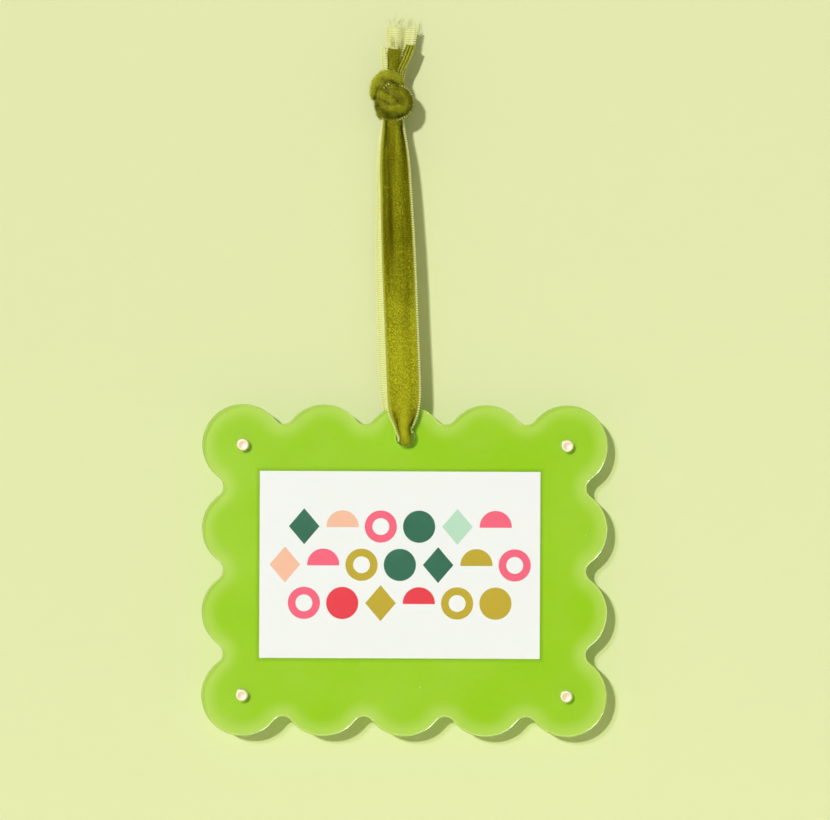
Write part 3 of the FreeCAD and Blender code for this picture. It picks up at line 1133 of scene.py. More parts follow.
@dataclass
class Magnets:
    """The four disc magnets of one panel: one turned disc, set at each corner."""

    side: MagnetSide
    finish: Material
    segments: int = 40
    dish_radius: float = 0.95
    dish_depth: float = 0.12
    dish_slope: float = 0.12
    rim_ease: float = 0.25
    foot_ease: float = 0.12

    def build(self) -> Object:
        """Build the magnets over their nodes.

        Returns:
            The piece.
        """
        label = self.side.name.lower()
        nodes = [f"{label}_magnet_{corner}" for corner in CORNERS]
        boxes = [box_mm(node) for node in nodes]
        low = Vector(min(b[0][i] for b in boxes) for i in range(3))
        high = Vector(max(b[1][i] for b in boxes) for i in range(3))
        radius = (boxes[0][1].x - boxes[0][0].x) / 2
        across, down = ((high[i] - low[i] - 2 * radius) * MM for i in (0, 2))
        tree = Tree(f"{label}_magnet_places", {"Across": across, "Down": down, "Finish": self.finish})
        size = {"Size X": tree.given["Across"], "Size Y": tree.given["Down"]}
        grid = tree.w.add("GeometryNodeMeshGrid", size | {"Vertices X": 2, "Vertices Y": 2})
        middle = (low + high) / 2 * MM
        stand = {"Translation": (middle.x, 0.0, middle.z), "Rotation": (math.pi / 2, 0.0, 0.0)}
        upright = tree.w.add("GeometryNodeTransform", {0: grid} | stand)
        tree.close({0: upright, "Instance": tree.given["Geometry"]})
        made = tree.run(self._disc(radius, low.y, high.y), f"{label}_magnets")
        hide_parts(*nodes)
        return made

    def _disc(self, radius: float, front: float, back: float) -> Object:
        """One disc, turned from its profile about the Y axis.

        Args:
            radius: the disc's radius.
            front: where its front face is.
            back: where its back face is.

        Returns:
            The disc as an object.
        """
        face, foot = (front, back) if self.side is MagnetSide.FRONT else (back, front)
        inward = -self.side.value
        thick = abs(foot - face)
        # The last number of each profile row is 1 in the dished middle, where the plating's painted
        # shade goes.
        profile = [
            (self.dish_radius - self.dish_slope, self.dish_depth, 1.0),
            (self.dish_radius, self.dish_depth * 0.5, 1.0),
            (self.dish_radius + 0.1, 0.0, 0.0),
            (radius - self.rim_ease - 0.06, 0.0, 0.0),
            (radius - self.rim_ease * 0.4, 0.06, 0.0),
            (radius - 0.03, self.rim_ease * 0.7, 0.0),
            (radius, self.rim_ease + 0.08, 0.0),
            (radius, thick - self.foot_ease, 0.0),
            (radius - self.foot_ease, thick, 0.0),
        ]
        maker = MeshMaker("dish")
        angles = [math.tau * i / self.segments for i in range(self.segments)]
        rows = []
        for reach, depth, dish in profile:
            y = face + inward * depth
            spots = [Vector((math.cos(a) * reach, y, math.sin(a) * reach)) for a in angles]
            rows.append([maker.point(spot, dish=dish) for spot in spots])
        maker.stack(rows)
        return maker.finish("disc", [self.finish])


# Ribbon


@dataclass
class Station:
    """One place along the ribbon: its middle, its chord, and how far it is turned."""

    middle: Vector
    chord: float
    turn: float = 0.0


def by_hand(*spots: tuple[float, ...]) -> list[Station]:
    """Stations from listed places, each with its chord and, where it has one, its turn."""
    return [Station(Vector(spot[:3]), *spot[3:]) for spot in spots]


def between(four: list, t: float) -> object:
    """A value on the curve through the middle two of four values.

    Args:
        four: the values before, at the start, at the end and after.
        t: how far along it is, from 0 to 1.

    Returns:
        The value.
    """
    a, b, c, d = four
    slope_b, slope_c = (c - a) * 0.5, (d - b) * 0.5
    t2, t3 = t * t, t * t * t
    return (
        b * (2 * t3 - 3 * t2 + 1)
        + slope_b * (t3 - 2 * t2 + t)
        + c * (3 * t2 - 2 * t3)
        + slope_c * (t3 - t2)
    )


def drawn_close(given: list[Station], spacing: float) -> list[Station]:
    """Stations drawn closer on one smooth curve.

    Args:
        given: the stations that the curve passes.
        spacing: how far apart the new ones lie, in millimetres.

    Returns:
        The new stations.
    """
    made = []
    for i in range(len(given) - 1):
        four = [given[max(i - 1, 0)], given[i], given[i + 1], given[min(i + 2, len(given) - 1)]]
        steps = max(2, round((four[2].middle - four[1].middle).length / spacing))
        for t in (k / steps for k in range(steps)):
            middle = between([s.middle for s in four], t)
            chord = between([s.chord for s in four], t)
            made.append(Station(middle, chord, between([s.turn for s in four], t)))
    made.append(given[-1])
    return made


def travel(given: list[Station], spacing: float) -> list[tuple[Station, Vector, float]]:
    """A walk along the smooth curve through stations.

    Args:
        given: the stations that the curve passes.
        spacing: how long a step is, in millimetres.

    Returns:
        Each step's station, the way it heads, and how far along it is.
    """
    run = drawn_close(given, spacing)
    steps = []
    along = 0.0
    for i, station in enumerate(run):
        way = (run[min(i + 1, len(run) - 1)].middle - run[max(i - 1, 0)].middle).normalized()
        along += (station.middle - run[i - 1].middle).length if i else 0.0
        steps.append((station, way, along))
    return steps


@dataclass
class Fold:
    """The section of a gathered ribbon: how it is folded across its width."""

    folds: int = 3
    flat: float = RIBBON_WIDTH
    thickness: float = 0.8
    flats: int = 36
    lopsided: float = 1.0
    widest_swing: float = 2.2
    tries: int = 30

    def line(self, chord: float) -> list[tuple[float, float]]:
        """The middle line of the folded section at a chord, by a swinging direction.

        Args:
            chord: how wide the folded ribbon lies.

        Returns:
            Points across the section, centred.
        """
        flat = self.flat - self.thickness
        target = chord - self.thickness
        low, high = 0.0, self.widest_swing
        points = []
        for _ in range(self.tries):
            swing = (low + high) / 2
            x = y = 0.0
            points = [(x, y)]
            for i in range(self.flats):
                share = ((i + 0.5) / self.flats) ** self.lopsided
                bend = -swing * math.sin(share * self.folds * math.pi)
                x += math.cos(bend) * flat / self.flats
                y += math.sin(bend) * flat / self.flats
                points.append((x, y))
            low, high = (swing, high) if x > target else (low, swing)
        middle_x = points[-1][0] / 2
        middle_y = (max(y for _, y in points) + min(y for _, y in points)) / 2
        return [(x - middle_x, y - middle_y) for x, y in points]

    def depth(self, chord: float) -> float:
        """How far the section reaches off its middle plane at a chord."""
        return max(abs(y) for _, y in self.line(chord)) + self.thickness / 2


@dataclass
class FoldedStrip:
    """A stretch of velvet ribbon, gathered in folds, that follows its stations."""

    stations: list[Station]
    fold: Fold = field(default_factory=Fold)
    spacing: float = 0.6
    pile_out: bool = True
    selvedge: float = 0.3
    gather_rate: float = 3.2
    crease_rate: float = 1.2
    furrow_shade: float = 0.0
    furrow_across: float = 3.0
    furrow_half: float = 1.9
    furrow_from: float = -60.0
    furrow_full: float = -30.0
    hem: float = 0.35
    beaded: int = 2
    edges: list[Line] = field(default_factory=list)
    cut: Line = field(default_factory=list)
    length: float = 0.0

    def sweep(self, maker: MeshMaker) -> None:
        """Add the strip to a mesh and keep its two selvedges.

        Args:
            maker: the mesh in the making.
        """
        rows = []
        self.edges = [[], []]
        for station, way, along in travel(self.stations, self.spacing):
            side = (RIGHT - way * RIGHT.dot(way)).normalized()
            outward = way.cross(side)
            angle = math.radians(station.turn)
            side, outward = (
                side * math.cos(angle) + outward * math.sin(angle),
                outward * math.cos(angle) - side * math.sin(angle),
            )
            rows.append((self._ring(maker, station, side, outward), along))
            line = self.fold.line(station.chord)
            self.cut = [(station.middle + side * x + outward * y, UP) for x, y in line]
            for number, (spot, ahead) in enumerate(((line[0], line[1]), (line[-1], line[-2]))):
                away = (side * (spot[0] - ahead[0]) + outward * (spot[1] - ahead[1])).normalized()
                place = station.middle + side * spot[0] + outward * spot[1]
                self.edges[number].append((place, away))
        self.length = rows[-1][1]
        self._skin(maker, rows)

    def _ring(self, maker: MeshMaker, station: Station, side: Vector, outward: Vector) -> list:
        """The closed row of points round one section, outer side first.

        Args:
            maker: the mesh in the making.
            station: the place along the ribbon.
            side: the way its width runs.
            outward: the way its outer side looks.

        Returns:
            The points, each with its distance across the ribbon.
        """
        line = self.fold.line(station.chord)
        highest = max(0.3, max(y for _, y in line))
        half = self.fold.thickness / 2
        gather = min(1.0, (1.0 - station.chord / self.fold.flat) * self.gather_rate)
        facing = 1.0 if self.pile_out else -1.0
        # Painted shade: a dark furrow line at a set place across the strand, growing in towards the top;
        # the mesh has no furrow there.
        risen = (station.middle.z - self.furrow_from) / (self.furrow_full - self.furrow_from)
        drawn_in = self.furrow_shade * min(1.0, max(0.0, risen))
        outer, inner = [], []
        for i, (x, y) in enumerate(line):
            before, after = line[max(i - 1, 0)], line[min(i + 1, len(line) - 1)]
            run = Vector((after[0] - before[0], after[1] - before[1])).normalized()
            share = i / (len(line) - 1)
            across = share * self.fold.flat
            nearest = min(across, self.fold.flat - across)
            thin = self.hem + (1.0 - self.hem) * min(1.0, nearest / (2 * half))
            pale = 1.0 if nearest < self.selvedge else 0.0
            # The crest number carries a painted highlight on the ridges of the folds.
            rise = facing * y / highest * gather
            furrow_shade = drawn_in * max(0.0, 1.0 - abs(across - self.furrow_across) / self.furrow_half)
            # Painted shade: the hollows of the folds and the furrow line are darkened.
            sunk_shade = min(1.0, max(0.0, -self.crease_rate * rise, furrow_shade))
            for row, sign in ((outer, 1.0), (inner, -1.0)):
                u = x - run.y * half * thin * sign
                v = y + run.x * half * thin * sign
                vert = maker.point(
                    station.middle + side * u + outward * v,
                    selvedge=pale,
                    crease=sunk_shade if sign == facing else 0.0,
                    crest=max(0.0, rise) if sign == facing else 0.0,
                )
                row.append((vert, across))
        return outer + inner[::-1]

    def _skin(self, maker: MeshMaker, rows: list) -> None:
        """Join the rings with faces, close both ends, and lay the cloth's map on them.

        Args:
            maker: the mesh in the making.
            rows: the rings and how far along the ribbon each is.
        """
        count = len(rows[0][0])
        for (first, near), (second, far) in zip(rows, rows[1:]):
            for i in range(count):
                j = (i + 1) % count
                corners = (first[i], first[j], second[j], second[i])
                face = maker.bm.faces.new([corner[0] for corner in corners])
                hem = i % (count // 2) == count // 2 - 1
                face.material_index = int(not hem and (i < count // 2) != self.pile_out)
                for loop, corner, v in zip(face.loops, corners, (near, near, far, far)):
                    loop[maker.map].uv = (corner[1] * MM, v * MM)
        for ring, _ in (rows[0], rows[-1]):
            for i in range(count // 2 - 1):
                face = maker.bm.faces.new(
                    [ring[i][0], ring[i + 1][0], ring[count - 2 - i][0], ring[count - 1 - i][0]]
                )
                face.material_index = 1


@dataclass
class Roll:
    """A turn of the knot: the ribbon rolled up softly along a path, with ridges and a selvedge, and
    painted shade and highlight on its folds.
    """

    stations: list[Station]
    seam: float = 0.0
    span: tuple[float, float] = (0.0, 0.0)
    flatness: float = 0.85
    ridge: float = 0.12
    pale_and_highlight: float = 0.0
    twist: float = 0.25
    around: int = 40
    spacing: float = 0.3
    seam_half: float = 0.12
    threshold: float = 0.1
    deepest_shade: float = 0.9
    tucked: float = 0.35
    tuck: float = 0.12
    heart: Vector = field(default_factory=lambda: Vector((0.0, 0.0, 6.0)))
    seam_line: Line = field(default_factory=list)

    def sweep(self, maker: MeshMaker) -> None:
        """Add the roll to a mesh and keep the line of its selvedge.

        Args:
            maker: the mesh in the making.
        """
        run = travel(self.stations, self.spacing)
        rings = []
        for i, (station, way, along) in enumerate(run):
            away = station.middle - self.heart
            outward = (away - way * away.dot(way)).normalized()
            side = outward.cross(way)
            share = i / (len(run) - 1)
            half = station.chord / 2 * self._taper(share)
            seamed = self.span[0] <= share < self.span[1]
            ring = []
            for k in range(self.around):
                angle = math.tau * k / self.around
                rise = self._folds(angle, along)
                swell = 1.0 + self.ridge * rise
                place = station.middle + outward * (math.cos(angle) * half * self.flatness * swell)
                place += side * (math.sin(angle) * half * swell)
                gap = abs((angle - self.seam + math.pi) % math.tau - math.pi)
                pale = float(seamed and gap < self.seam_half)
                # Painted shade in the roll's hollows and painted highlight on its ridges.
                sunk_shade = min(self.deepest_shade, max(0.0, -rise - self.threshold))
                ridge_highlight = max(0.0, rise - self.threshold) * 0.9 + self.pale_and_highlight
                ring.append(maker.point(place, selvedge=pale, crease=sunk_shade, crest=ridge_highlight))
            rings.append((ring, along))
            if seamed:
                swell = half * (1.0 + self.ridge * self._folds(self.seam, along))
                reach = outward * (math.cos(self.seam) * self.flatness) + side * math.sin(self.seam)
                self.seam_line.append((station.middle + reach * swell, reach.normalized()))
        self._skin(maker, rings)

    def _taper(self, share: float) -> float:
        """How full the roll is at a share of its length, less near its tucked ends."""
        nearest = min(1.0, min(share, 1.0 - share) / self.tuck)
        return min(1.0, self.tucked + (1.0 - self.tucked) * math.sqrt(nearest))

    def _folds(self, angle: float, along: float) -> float:
        """The height of the folds at one place on the roll.

        Args:
            angle: how far round it the place is.
            along: how far along it, in millimetres.

        Returns:
            The height, from about -1 to 1.
        """
        coarse = math.cos(3 * angle + self.twist * along)
        fine = math.cos(7 * angle - 2 * self.twist * along + 1.0)
        lumps = math.cos(1.7 * along + 2 * angle) * math.cos(0.9 * along - angle)
        return 0.55 * coarse + 0.2 * fine + 0.4 * lumps

    def _skin(self, maker: MeshMaker, rings: list) -> None:
        """Join the rings with faces, close both ends, and lay the cloth's map on them.

        Args:
            maker: the mesh in the making.
            rings: the rings and how far along the roll each is.
        """
        for (first, near), (second, far) in zip(rings, rings[1:]):
            for k in range(self.around):
                after = (k + 1) % self.around
                face = maker.bm.faces.new((first[k], first[after], second[after], second[k]))
                spots = ((k, near), (k + 1, near), (k + 1, far), (k, far))
                for loop, (turn, v) in zip(face.loops, spots):
                    loop[maker.map].uv = (turn / self.around * RIBBON_WIDTH * MM, v * MM)
        for ring, _ in (rings[0], rings[-1]):
            maker.bm.faces.new(ring)


@dataclass(frozen=True)
class Tufts:
    """One kind of standing fibres: how they look, where they stand, and how they measure."""

    finish: Material
    heights: tuple[float, float]
    density: float
    length: float
    thick: float


@dataclass
class Ribbon:
    """The velvet ribbon: loop, knot, cut ends, picot edges and frayed threads."""

    velvet: Material
    backing: Material
    thread: Material
    fibre: Material
    fuzz: Material
    clearance: float = 0.3
    drop: float = 85.3
    bow: float = 1.0
    rear_aside: float = 1.85
    aside_start: float = 0.35
    aside_growth: float = 0.95
    aside_power: float = 0.3
    front_pull: float = 0.5
    pull_reach: float = 14.0
    hole_radius: float = 2.6
    spread: float = 9.5
    gathered: float = 4.0
    flat_width: float = 10.0
    flat_length: float = 286.0
    rising: tuple[tuple[float, float], ...] = (
        (2.0, 4.6), (3.6, 6.0), (6.0, 8.0), (9.5, 9.2), (15.0, 9.5),
    )
    free: tuple[float, ...] = (0.62, 0.42)
    fold: Fold = field(default_factory=lambda: Fold(lopsided=0.7))
    neck: tuple[tuple[float, float, float], ...] = (
        (-20.0, 3.2, 8.9), (-12.0, 2.7, 8.5), (-6.5, 2.1, 7.7), (-2.5, 1.7, 6.6), (2.5, 1.7, 5.4),
    )

    def build(self) -> list[Object]:
        """Build the ribbon over its node, with its edges and threads.

        Returns:
            The ribbon and the pieces on it.
        """
        maker = MeshMaker("selvedge", "crease", "crest")
        loop = FoldedStrip(self._loop(), self.fold, furrow_shade=0.55)
        ends = self._ends()
        turns = self._turns()
        for part in (loop, *ends, *turns):
            part.sweep(maker)
        ribbon = maker.finish("velvet_ribbon", [self.velvet, self.backing])
        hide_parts("ribbon")
        lines = [line for strip in (loop, *ends) for line in strip.edges[: strip.beaded]]
        lines += [turn.seam_line for turn in turns if turn.seam_line]
        cuts = [end.cut for end in ends[:2]]
        added = [
            self._picots(lines),
            self._fray("cut_edges", cuts, spacing=0.20, length=0.9, thick=0.08),
            self._fray("frayed_threads", cuts, spacing=0.26, length=4.2, thick=0.05),
            self._pile(ribbon, "knot_pile", Tufts(self.fibre, (-1.0, 26.0), 26.0, 0.85, 0.115)),
            self._pile(ribbon, "knot_fuzz", Tufts(self.fuzz, (0.0, 14.0), 6.0, 1.60, 0.05)),
            self._pile(ribbon, "strand_pile", Tufts(self.fibre, (-90.0, -1.0), 12.0, 0.50, 0.115)),
        ]
        log.info("loop of %.1f mm", loop.length)
        return [ribbon, *added]

    def _strand(self, face: float, side: float, aside: float) -> list[Station]:
        """One strand from the panel up to the knot.

        Args:
            face: how far the panel's face is from the middle plane.
            side: -1 in front and 1 behind.
            aside: how far it bows to the left half way up.

        Returns:
            Its stations from the hole upwards.
        """
        lean = self.lean

        def station(up: float, off: float, chord: float) -> Station:
            """One station of the strand.

            Args:
                up: its height.
                off: how far it is from the middle plane.
                chord: how wide the ribbon lies there.

            Returns:
                The station.
            """
            share = max(-up, 0.0) / self.drop
            bowed = math.sin(math.pi * share) ** self.aside_power
            pulled = max(0.0, 1.0 - (up + self.drop) / self.pull_reach) if side < 0 else 0.0
            x = lean * -up / self.drop
            x -= aside * bowed * (self.aside_start + self.aside_growth * share)
            x -= self.front_pull * pulled
            return Station(Vector((x, side * off, up)), chord)

        run = [
            station(above - self.drop, face + self.clearance + self.fold.depth(chord), chord)
            for above, chord in self.rising
        ]
        run += [station(-s * self.drop, face + self.bow, self.spread) for s in self.free]
        run += [
            station(up, max(off, self.fold.depth(chord) + self.clearance / 2), chord)
            for up, off, chord in self.neck
        ]
        return run

    @property
    def lean(self) -> float:
        """How far the panels' middle is to the right of the loop's top."""
        low, high = box_mm("back_panel")
        return (low.x + high.x) / 2

    def _loop(self) -> list[Station]:
        """The loop's way down the front strand, through the hole and up the rear one.

        Returns:
            Its stations.
        """
        front = -box_mm("front_panel")[0].y
        back = box_mm("back_panel")[1].y
        stations = self._strand(front, -1.0, 0.0)[::-1]
        fold = self.fold
        bend = fold.depth(self.gathered) + self.clearance
        reach = max(math.hypot(x, y) for x, y in fold.line(self.gathered)) + fold.thickness / 2
        up = self.hole_radius - self.clearance - reach - self.drop
        slope = math.sqrt(0.5)
        for y, rise in (
            (-front - slope * bend, bend * (1 - slope)),
            (-front, 0.0),
            (back, 0.0),
            (back + slope * bend, bend * (1 - slope)),
        ):
            stations.append(Station(Vector((self.lean, y, up + rise)), self.gathered))
        return stations + self._strand(back, 1.0, self.rear_aside)

    @staticmethod
    def _ends() -> list[FoldedStrip]:
        """The cut ends above the knot, with the front one's curled edge and pleats.

        Returns:
            The strips: the front end, the longer rear one, the curled edge and the pleats.
        """
        front = by_hand(
            (0.0, -0.4, 8.9, 3.4), (-0.1, -0.7, 12.6, 2.8), (0.15, -1.3, 16.2, 3.3),
            (0.45, -2.0, 20.0, 3.9),
        )
        rear = by_hand(
            (0.3, 0.6, 8.9, 4.4), (1.0, 1.1, 14.6, 5.2), (1.9, 1.5, 20.3, 7.4), (2.4, 1.7, 26.0, 8.8),
        )
        curled = by_hand(
            (-1.8, -1.2, 9.0, 1.5, -5.0), (-2.15, -1.9, 12.8, 1.8, -10.0),
            (-2.4, -2.4, 16.4, 1.9, -12.0), (-2.5, -2.8, 20.2, 1.9, -15.0),
        )
        strips = [
            FoldedStrip(front, Fold(folds=2), pile_out=False),
            FoldedStrip(rear),
            FoldedStrip(curled, Fold(folds=1, flat=2.8, thickness=0.5)),
        ]
        pleat_fold = Fold(folds=1, flat=1.5, thickness=0.45)
        for number, (foot, tip) in enumerate(((1.1, 4.0), (1.8, 4.9), (2.4, 5.8))):
            back = number * 0.45
            pleat = by_hand(
                (1.7 + number * 0.3, -1.1 + back, 8.6, 0.9, 35.0),
                (foot, -2.0 + back, 13.4, 0.9, 35.0),
                ((foot + tip) / 2 + 0.1, -2.0 + back, 17.2, 1.0, 30.0),
                (tip, -1.6 + back, 21.0, 1.1, 25.0),
            )
            strips.append(FoldedStrip(pleat, pleat_fold, pile_out=False, selvedge=0.35, beaded=1))
        return strips

    @staticmethod
    def _turns() -> list[Roll]:
        """The rolled turns of the knot, each with its listed middle line and widths.

        Returns:
            The ball, the curl, the arch, two turns behind, and the core that fills them.
        """
        ball = by_hand(
            (-2.0, -1.2, 9.2, 2.6), (0.4, -2.6, 8.4, 3.6), (2.7, -3.0, 7.1, 4.4),
            (3.2, -3.0, 4.6, 4.6), (1.2, -3.3, 2.9, 4.4), (-1.5, -3.0, 3.0, 4.0),
            (-3.0, -1.8, 4.6, 3.6), (-3.4, 0.6, 6.0, 3.0),
        )
        curl = by_hand(
            (-3.6, -1.2, 8.0, 2.2), (-2.4, -3.0, 7.4, 2.6), (-0.8, -4.0, 6.4, 2.8),
            (0.6, -3.9, 5.3, 2.6), (1.2, -2.6, 4.4, 2.0),
        )
        arch = by_hand(
            (-4.2, 0.4, 6.4, 3.0), (-4.2, -1.4, 8.6, 3.6), (-3.4, -2.2, 10.8, 4.2),
            (-1.5, -2.4, 12.1, 4.2), (0.6, -1.9, 11.3, 3.8), (1.8, -0.4, 9.6, 3.2),
        )
        rear = by_hand(
            (3.0, -0.8, 3.2, 3.0), (3.4, 1.4, 5.0, 3.8), (1.6, 3.0, 7.2, 4.4),
            (-1.4, 3.1, 8.6, 4.4), (-3.8, 1.6, 9.6, 3.8), (-4.0, -0.4, 10.4, 3.0),
        )
        rear_low = by_hand(
            (-3.2, 0.2, 3.4, 3.0), (-1.8, 2.4, 3.0, 4.0), (0.8, 3.0, 3.6, 4.2), (3.0, 1.6, 5.6, 3.6),
        )
        core = by_hand(
            (0.1, 0.1, 0.5, 4.6), (0.2, 0.0, 5.0, 6.6), (-0.4, 0.0, 10.0, 6.0), (-0.4, 0.0, 13.2, 4.0),
        )
        return [
            # Each roll's pale_and_highlight is a painted highlight, most on the arch and the curl.
            Roll(ball, seam=0.72, span=(0.08, 0.66), pale_and_highlight=0.15),
            Roll(curl, seam=-2.2, span=(0.05, 0.34), ridge=0.16, pale_and_highlight=0.5),
            Roll(arch, seam=-2.3, span=(0.34, 0.62), ridge=0.14, pale_and_highlight=1.0),
            Roll(rear, seam=1.0, span=(0.2, 0.8)),
            Roll(rear_low),
            Roll(core, heart=Vector((0.0, 9.0, 6.0))),
        ]

    @staticmethod
    def _carrier(name: str, lines: list[Line]) -> Object:
        """Lines as an object of loose edges that know which way is outwards.

        Args:
            name: the object's name.
            lines: each line as places and outward ways.

        Returns:
            The object.
        """
        mesh = bpy.data.meshes.new(name)
        places = [place * MM for line in lines for place, _ in line]
        edges = []
        start = 0
        for line in lines:
            edges += [(start + i, start + i + 1) for i in range(len(line) - 1)]
            start += len(line)
        mesh.from_pydata(places, edges, [])
        outward = mesh.attributes.new("outward", "FLOAT_VECTOR", "POINT")
        flat = [number for line in lines for _, away in line for number in away]
        outward.data.foreach_set("vector", flat)
        return linked(name, mesh)

    def _picots(self, lines: list[Line]) -> Object:
        """Tiny loops of thread along every selvedge.

        Args:
            lines: the selvedges.

        Returns:
            The piece.
        """
        inputs = {"Pitch": 0.64 * MM, "Radius": 0.36 * MM, "Squeeze": 0.66, "Depth": 0.8}
        tree = Tree("picot_edge", inputs | {"Stand": 0.20 * MM, "Finish": self.thread})
        w, given = tree.w, tree.given
        knob = w.add("GeometryNodeMeshIcoSphere", {"Radius": given["Radius"], "Subdivisions": 2})
        shape = w.add("ShaderNodeCombineXYZ", {0: given["Squeeze"], 1: 1.0, 2: given["Depth"]})
        stand = w.add("ShaderNodeCombineXYZ", {1: given["Stand"]})
        loop = w.add("GeometryNodeTransform", {0: knob, "Translation": stand, "Scale": shape})
        name = {"Name": "outward"}
        outward = w.add("GeometryNodeInputNamedAttribute", name, data_type="FLOAT_VECTOR")
        turned = w.add(
            "FunctionNodeAxesToRotation",
            {0: w.add("GeometryNodeInputTangent"), 1: outward},
            primary_axis="X",
            secondary_axis="Y",
        )
        tree.close({0: tree.spaced("Pitch"), "Instance": loop, "Rotation": turned})
        return tree.run(self._carrier("picot_lines", lines), "picot_loops")

    def _fray(self, name: str, cuts: list[Line], spacing: float, length: float, thick: float) -> Object:
        """Loose threads that stand out of the cut ends.

        Args:
            name: the piece's name.
            cuts: the line of each cut.
            spacing: how far apart the threads stand, in millimetres.
            length: how long the longest is.
            thick: how thick they are from the middle out.

        Returns:
            The piece.
        """
        inputs = {"Spacing": spacing * MM, "Length": length * MM, "Thread": thick * MM, "Seed": 11}
        tree = Tree(name, inputs | {"Finish": self.thread})
        w, given = tree.w, tree.given

        def spot(across: float, up: float) -> Node:
            """A place on the thread, as shares of its length across and up."""
            parts = {0: w.times(given["Length"], across), 2: w.times(given["Length"], up)}
            return w.add("ShaderNodeCombineXYZ", parts)

        strand = w.add(
            "GeometryNodeCurveQuadraticBezier",
            {
                "Resolution": 8,
                "Start": spot(0.0, -0.3),
                "Middle": spot(0.12, 0.5),
                "End": spot(-0.1, 1.0),
            },
        )
        section = w.add("GeometryNodeCurvePrimitiveCircle", {"Resolution": 4, "Radius": given["Thread"]})
        thread = w.add("GeometryNodeCurveToMesh", {0: strand, 1: section})
        lean = tree.chance((-0.35, -0.30, -3.1), (0.35, 0.30, 3.1))
        reach = tree.chance(0.35, 1.0)
        tree.close({0: tree.spaced("Spacing"), "Instance": thread, "Rotation": lean, "Scale": reach})
        return tree.run(self._carrier(f"{name}_lines", cuts), name)

    @staticmethod
    def _open_pile(cloth: Object, heights: tuple[float, float]) -> Object:
        """The velvet faces of the ribbon that lie open, as an object.

        Args:
            cloth: the ribbon.
            heights: the lowest and the highest height that counts, in millimetres.

        Returns:
            The object.
        """
        off, room = 0.02 * MM, 1.2 * MM
        bm = bmesh.new()
        bm.from_mesh(cloth.data)
        solid = BVHTree.FromBMesh(bm)
        selvedge = bm.verts.layers.float["selvedge"]
        bare = []
        for face in bm.faces:
            middle = face.calc_center_median()
            plain = face.material_index == 1 or any(vert[selvedge] > 0.5 for vert in face.verts)
            away = not heights[0] <= middle.z / MM <= heights[1]
            above = solid.ray_cast(middle + face.normal * off, face.normal, room)[0]
            if plain or away or above is not None:
                bare.append(face)
        bmesh.ops.delete(bm, geom=bare, context="FACES")
        mesh = bpy.data.meshes.new("open_pile")
        bm.to_mesh(mesh)
        bm.free()
        return linked("open_pile", mesh)

    def _pile(self, cloth: Object, name: str, tufts: Tufts) -> Object:
        """Short fibres that stand on the velvet, with the nap leaning down.

        Args:
            cloth: the ribbon.
            name: the piece's name.
            tufts: the kind of fibres and the stretch that they cover.

        Returns:
            The piece.
        """
        inputs = {"Density": tufts.density / MM**2, "Length": tufts.length * MM}
        inputs |= {"Thread": tufts.thick * MM, "Nap": -0.35, "Seed": 5, "Finish": tufts.finish}
        tree = Tree(name, inputs)
        w, given = tree.w, tree.given
        spots = w.add(
            "GeometryNodeDistributePointsOnFaces",
            {"Mesh": given["Geometry"], "Density": given["Density"], "Seed": given["Seed"]},
        )
        size = {"Vertices": 3, "Radius Bottom": given["Thread"], "Depth": given["Length"]}
        cone = w.add("GeometryNodeMeshCone", {"Radius Top": 0.0} | size, fill_type="NONE")
        height = w.apart(w.add("GeometryNodeInputPosition"))[2]
        fibre = tree.kept("tip", cone, w.math("DIVIDE", height, given["Length"]))
        toned = tree.kept("tone", spots, tree.chance(0.0, 1.0))
        nap = w.add("ShaderNodeCombineXYZ", {2: given["Nap"]})
        leaning = w.add("ShaderNodeVectorMath", {0: spots.outputs["Normal"], 1: nap})
        spread = tree.chance((-0.8, -0.8, -0.8), (0.8, 0.8, 0.8))
        way = w.add("ShaderNodeVectorMath", {0: leaning, 1: spread})
        turned = w.add("FunctionNodeAlignRotationToVector", {"Vector": way}, axis="Z")
        tree.close({0: toned, "Instance": fibre, "Rotation": turned, "Scale": tree.chance(0.55, 1.0)})
        return tree.run(self._open_pile(cloth, tufts.heights), name)


# Studio


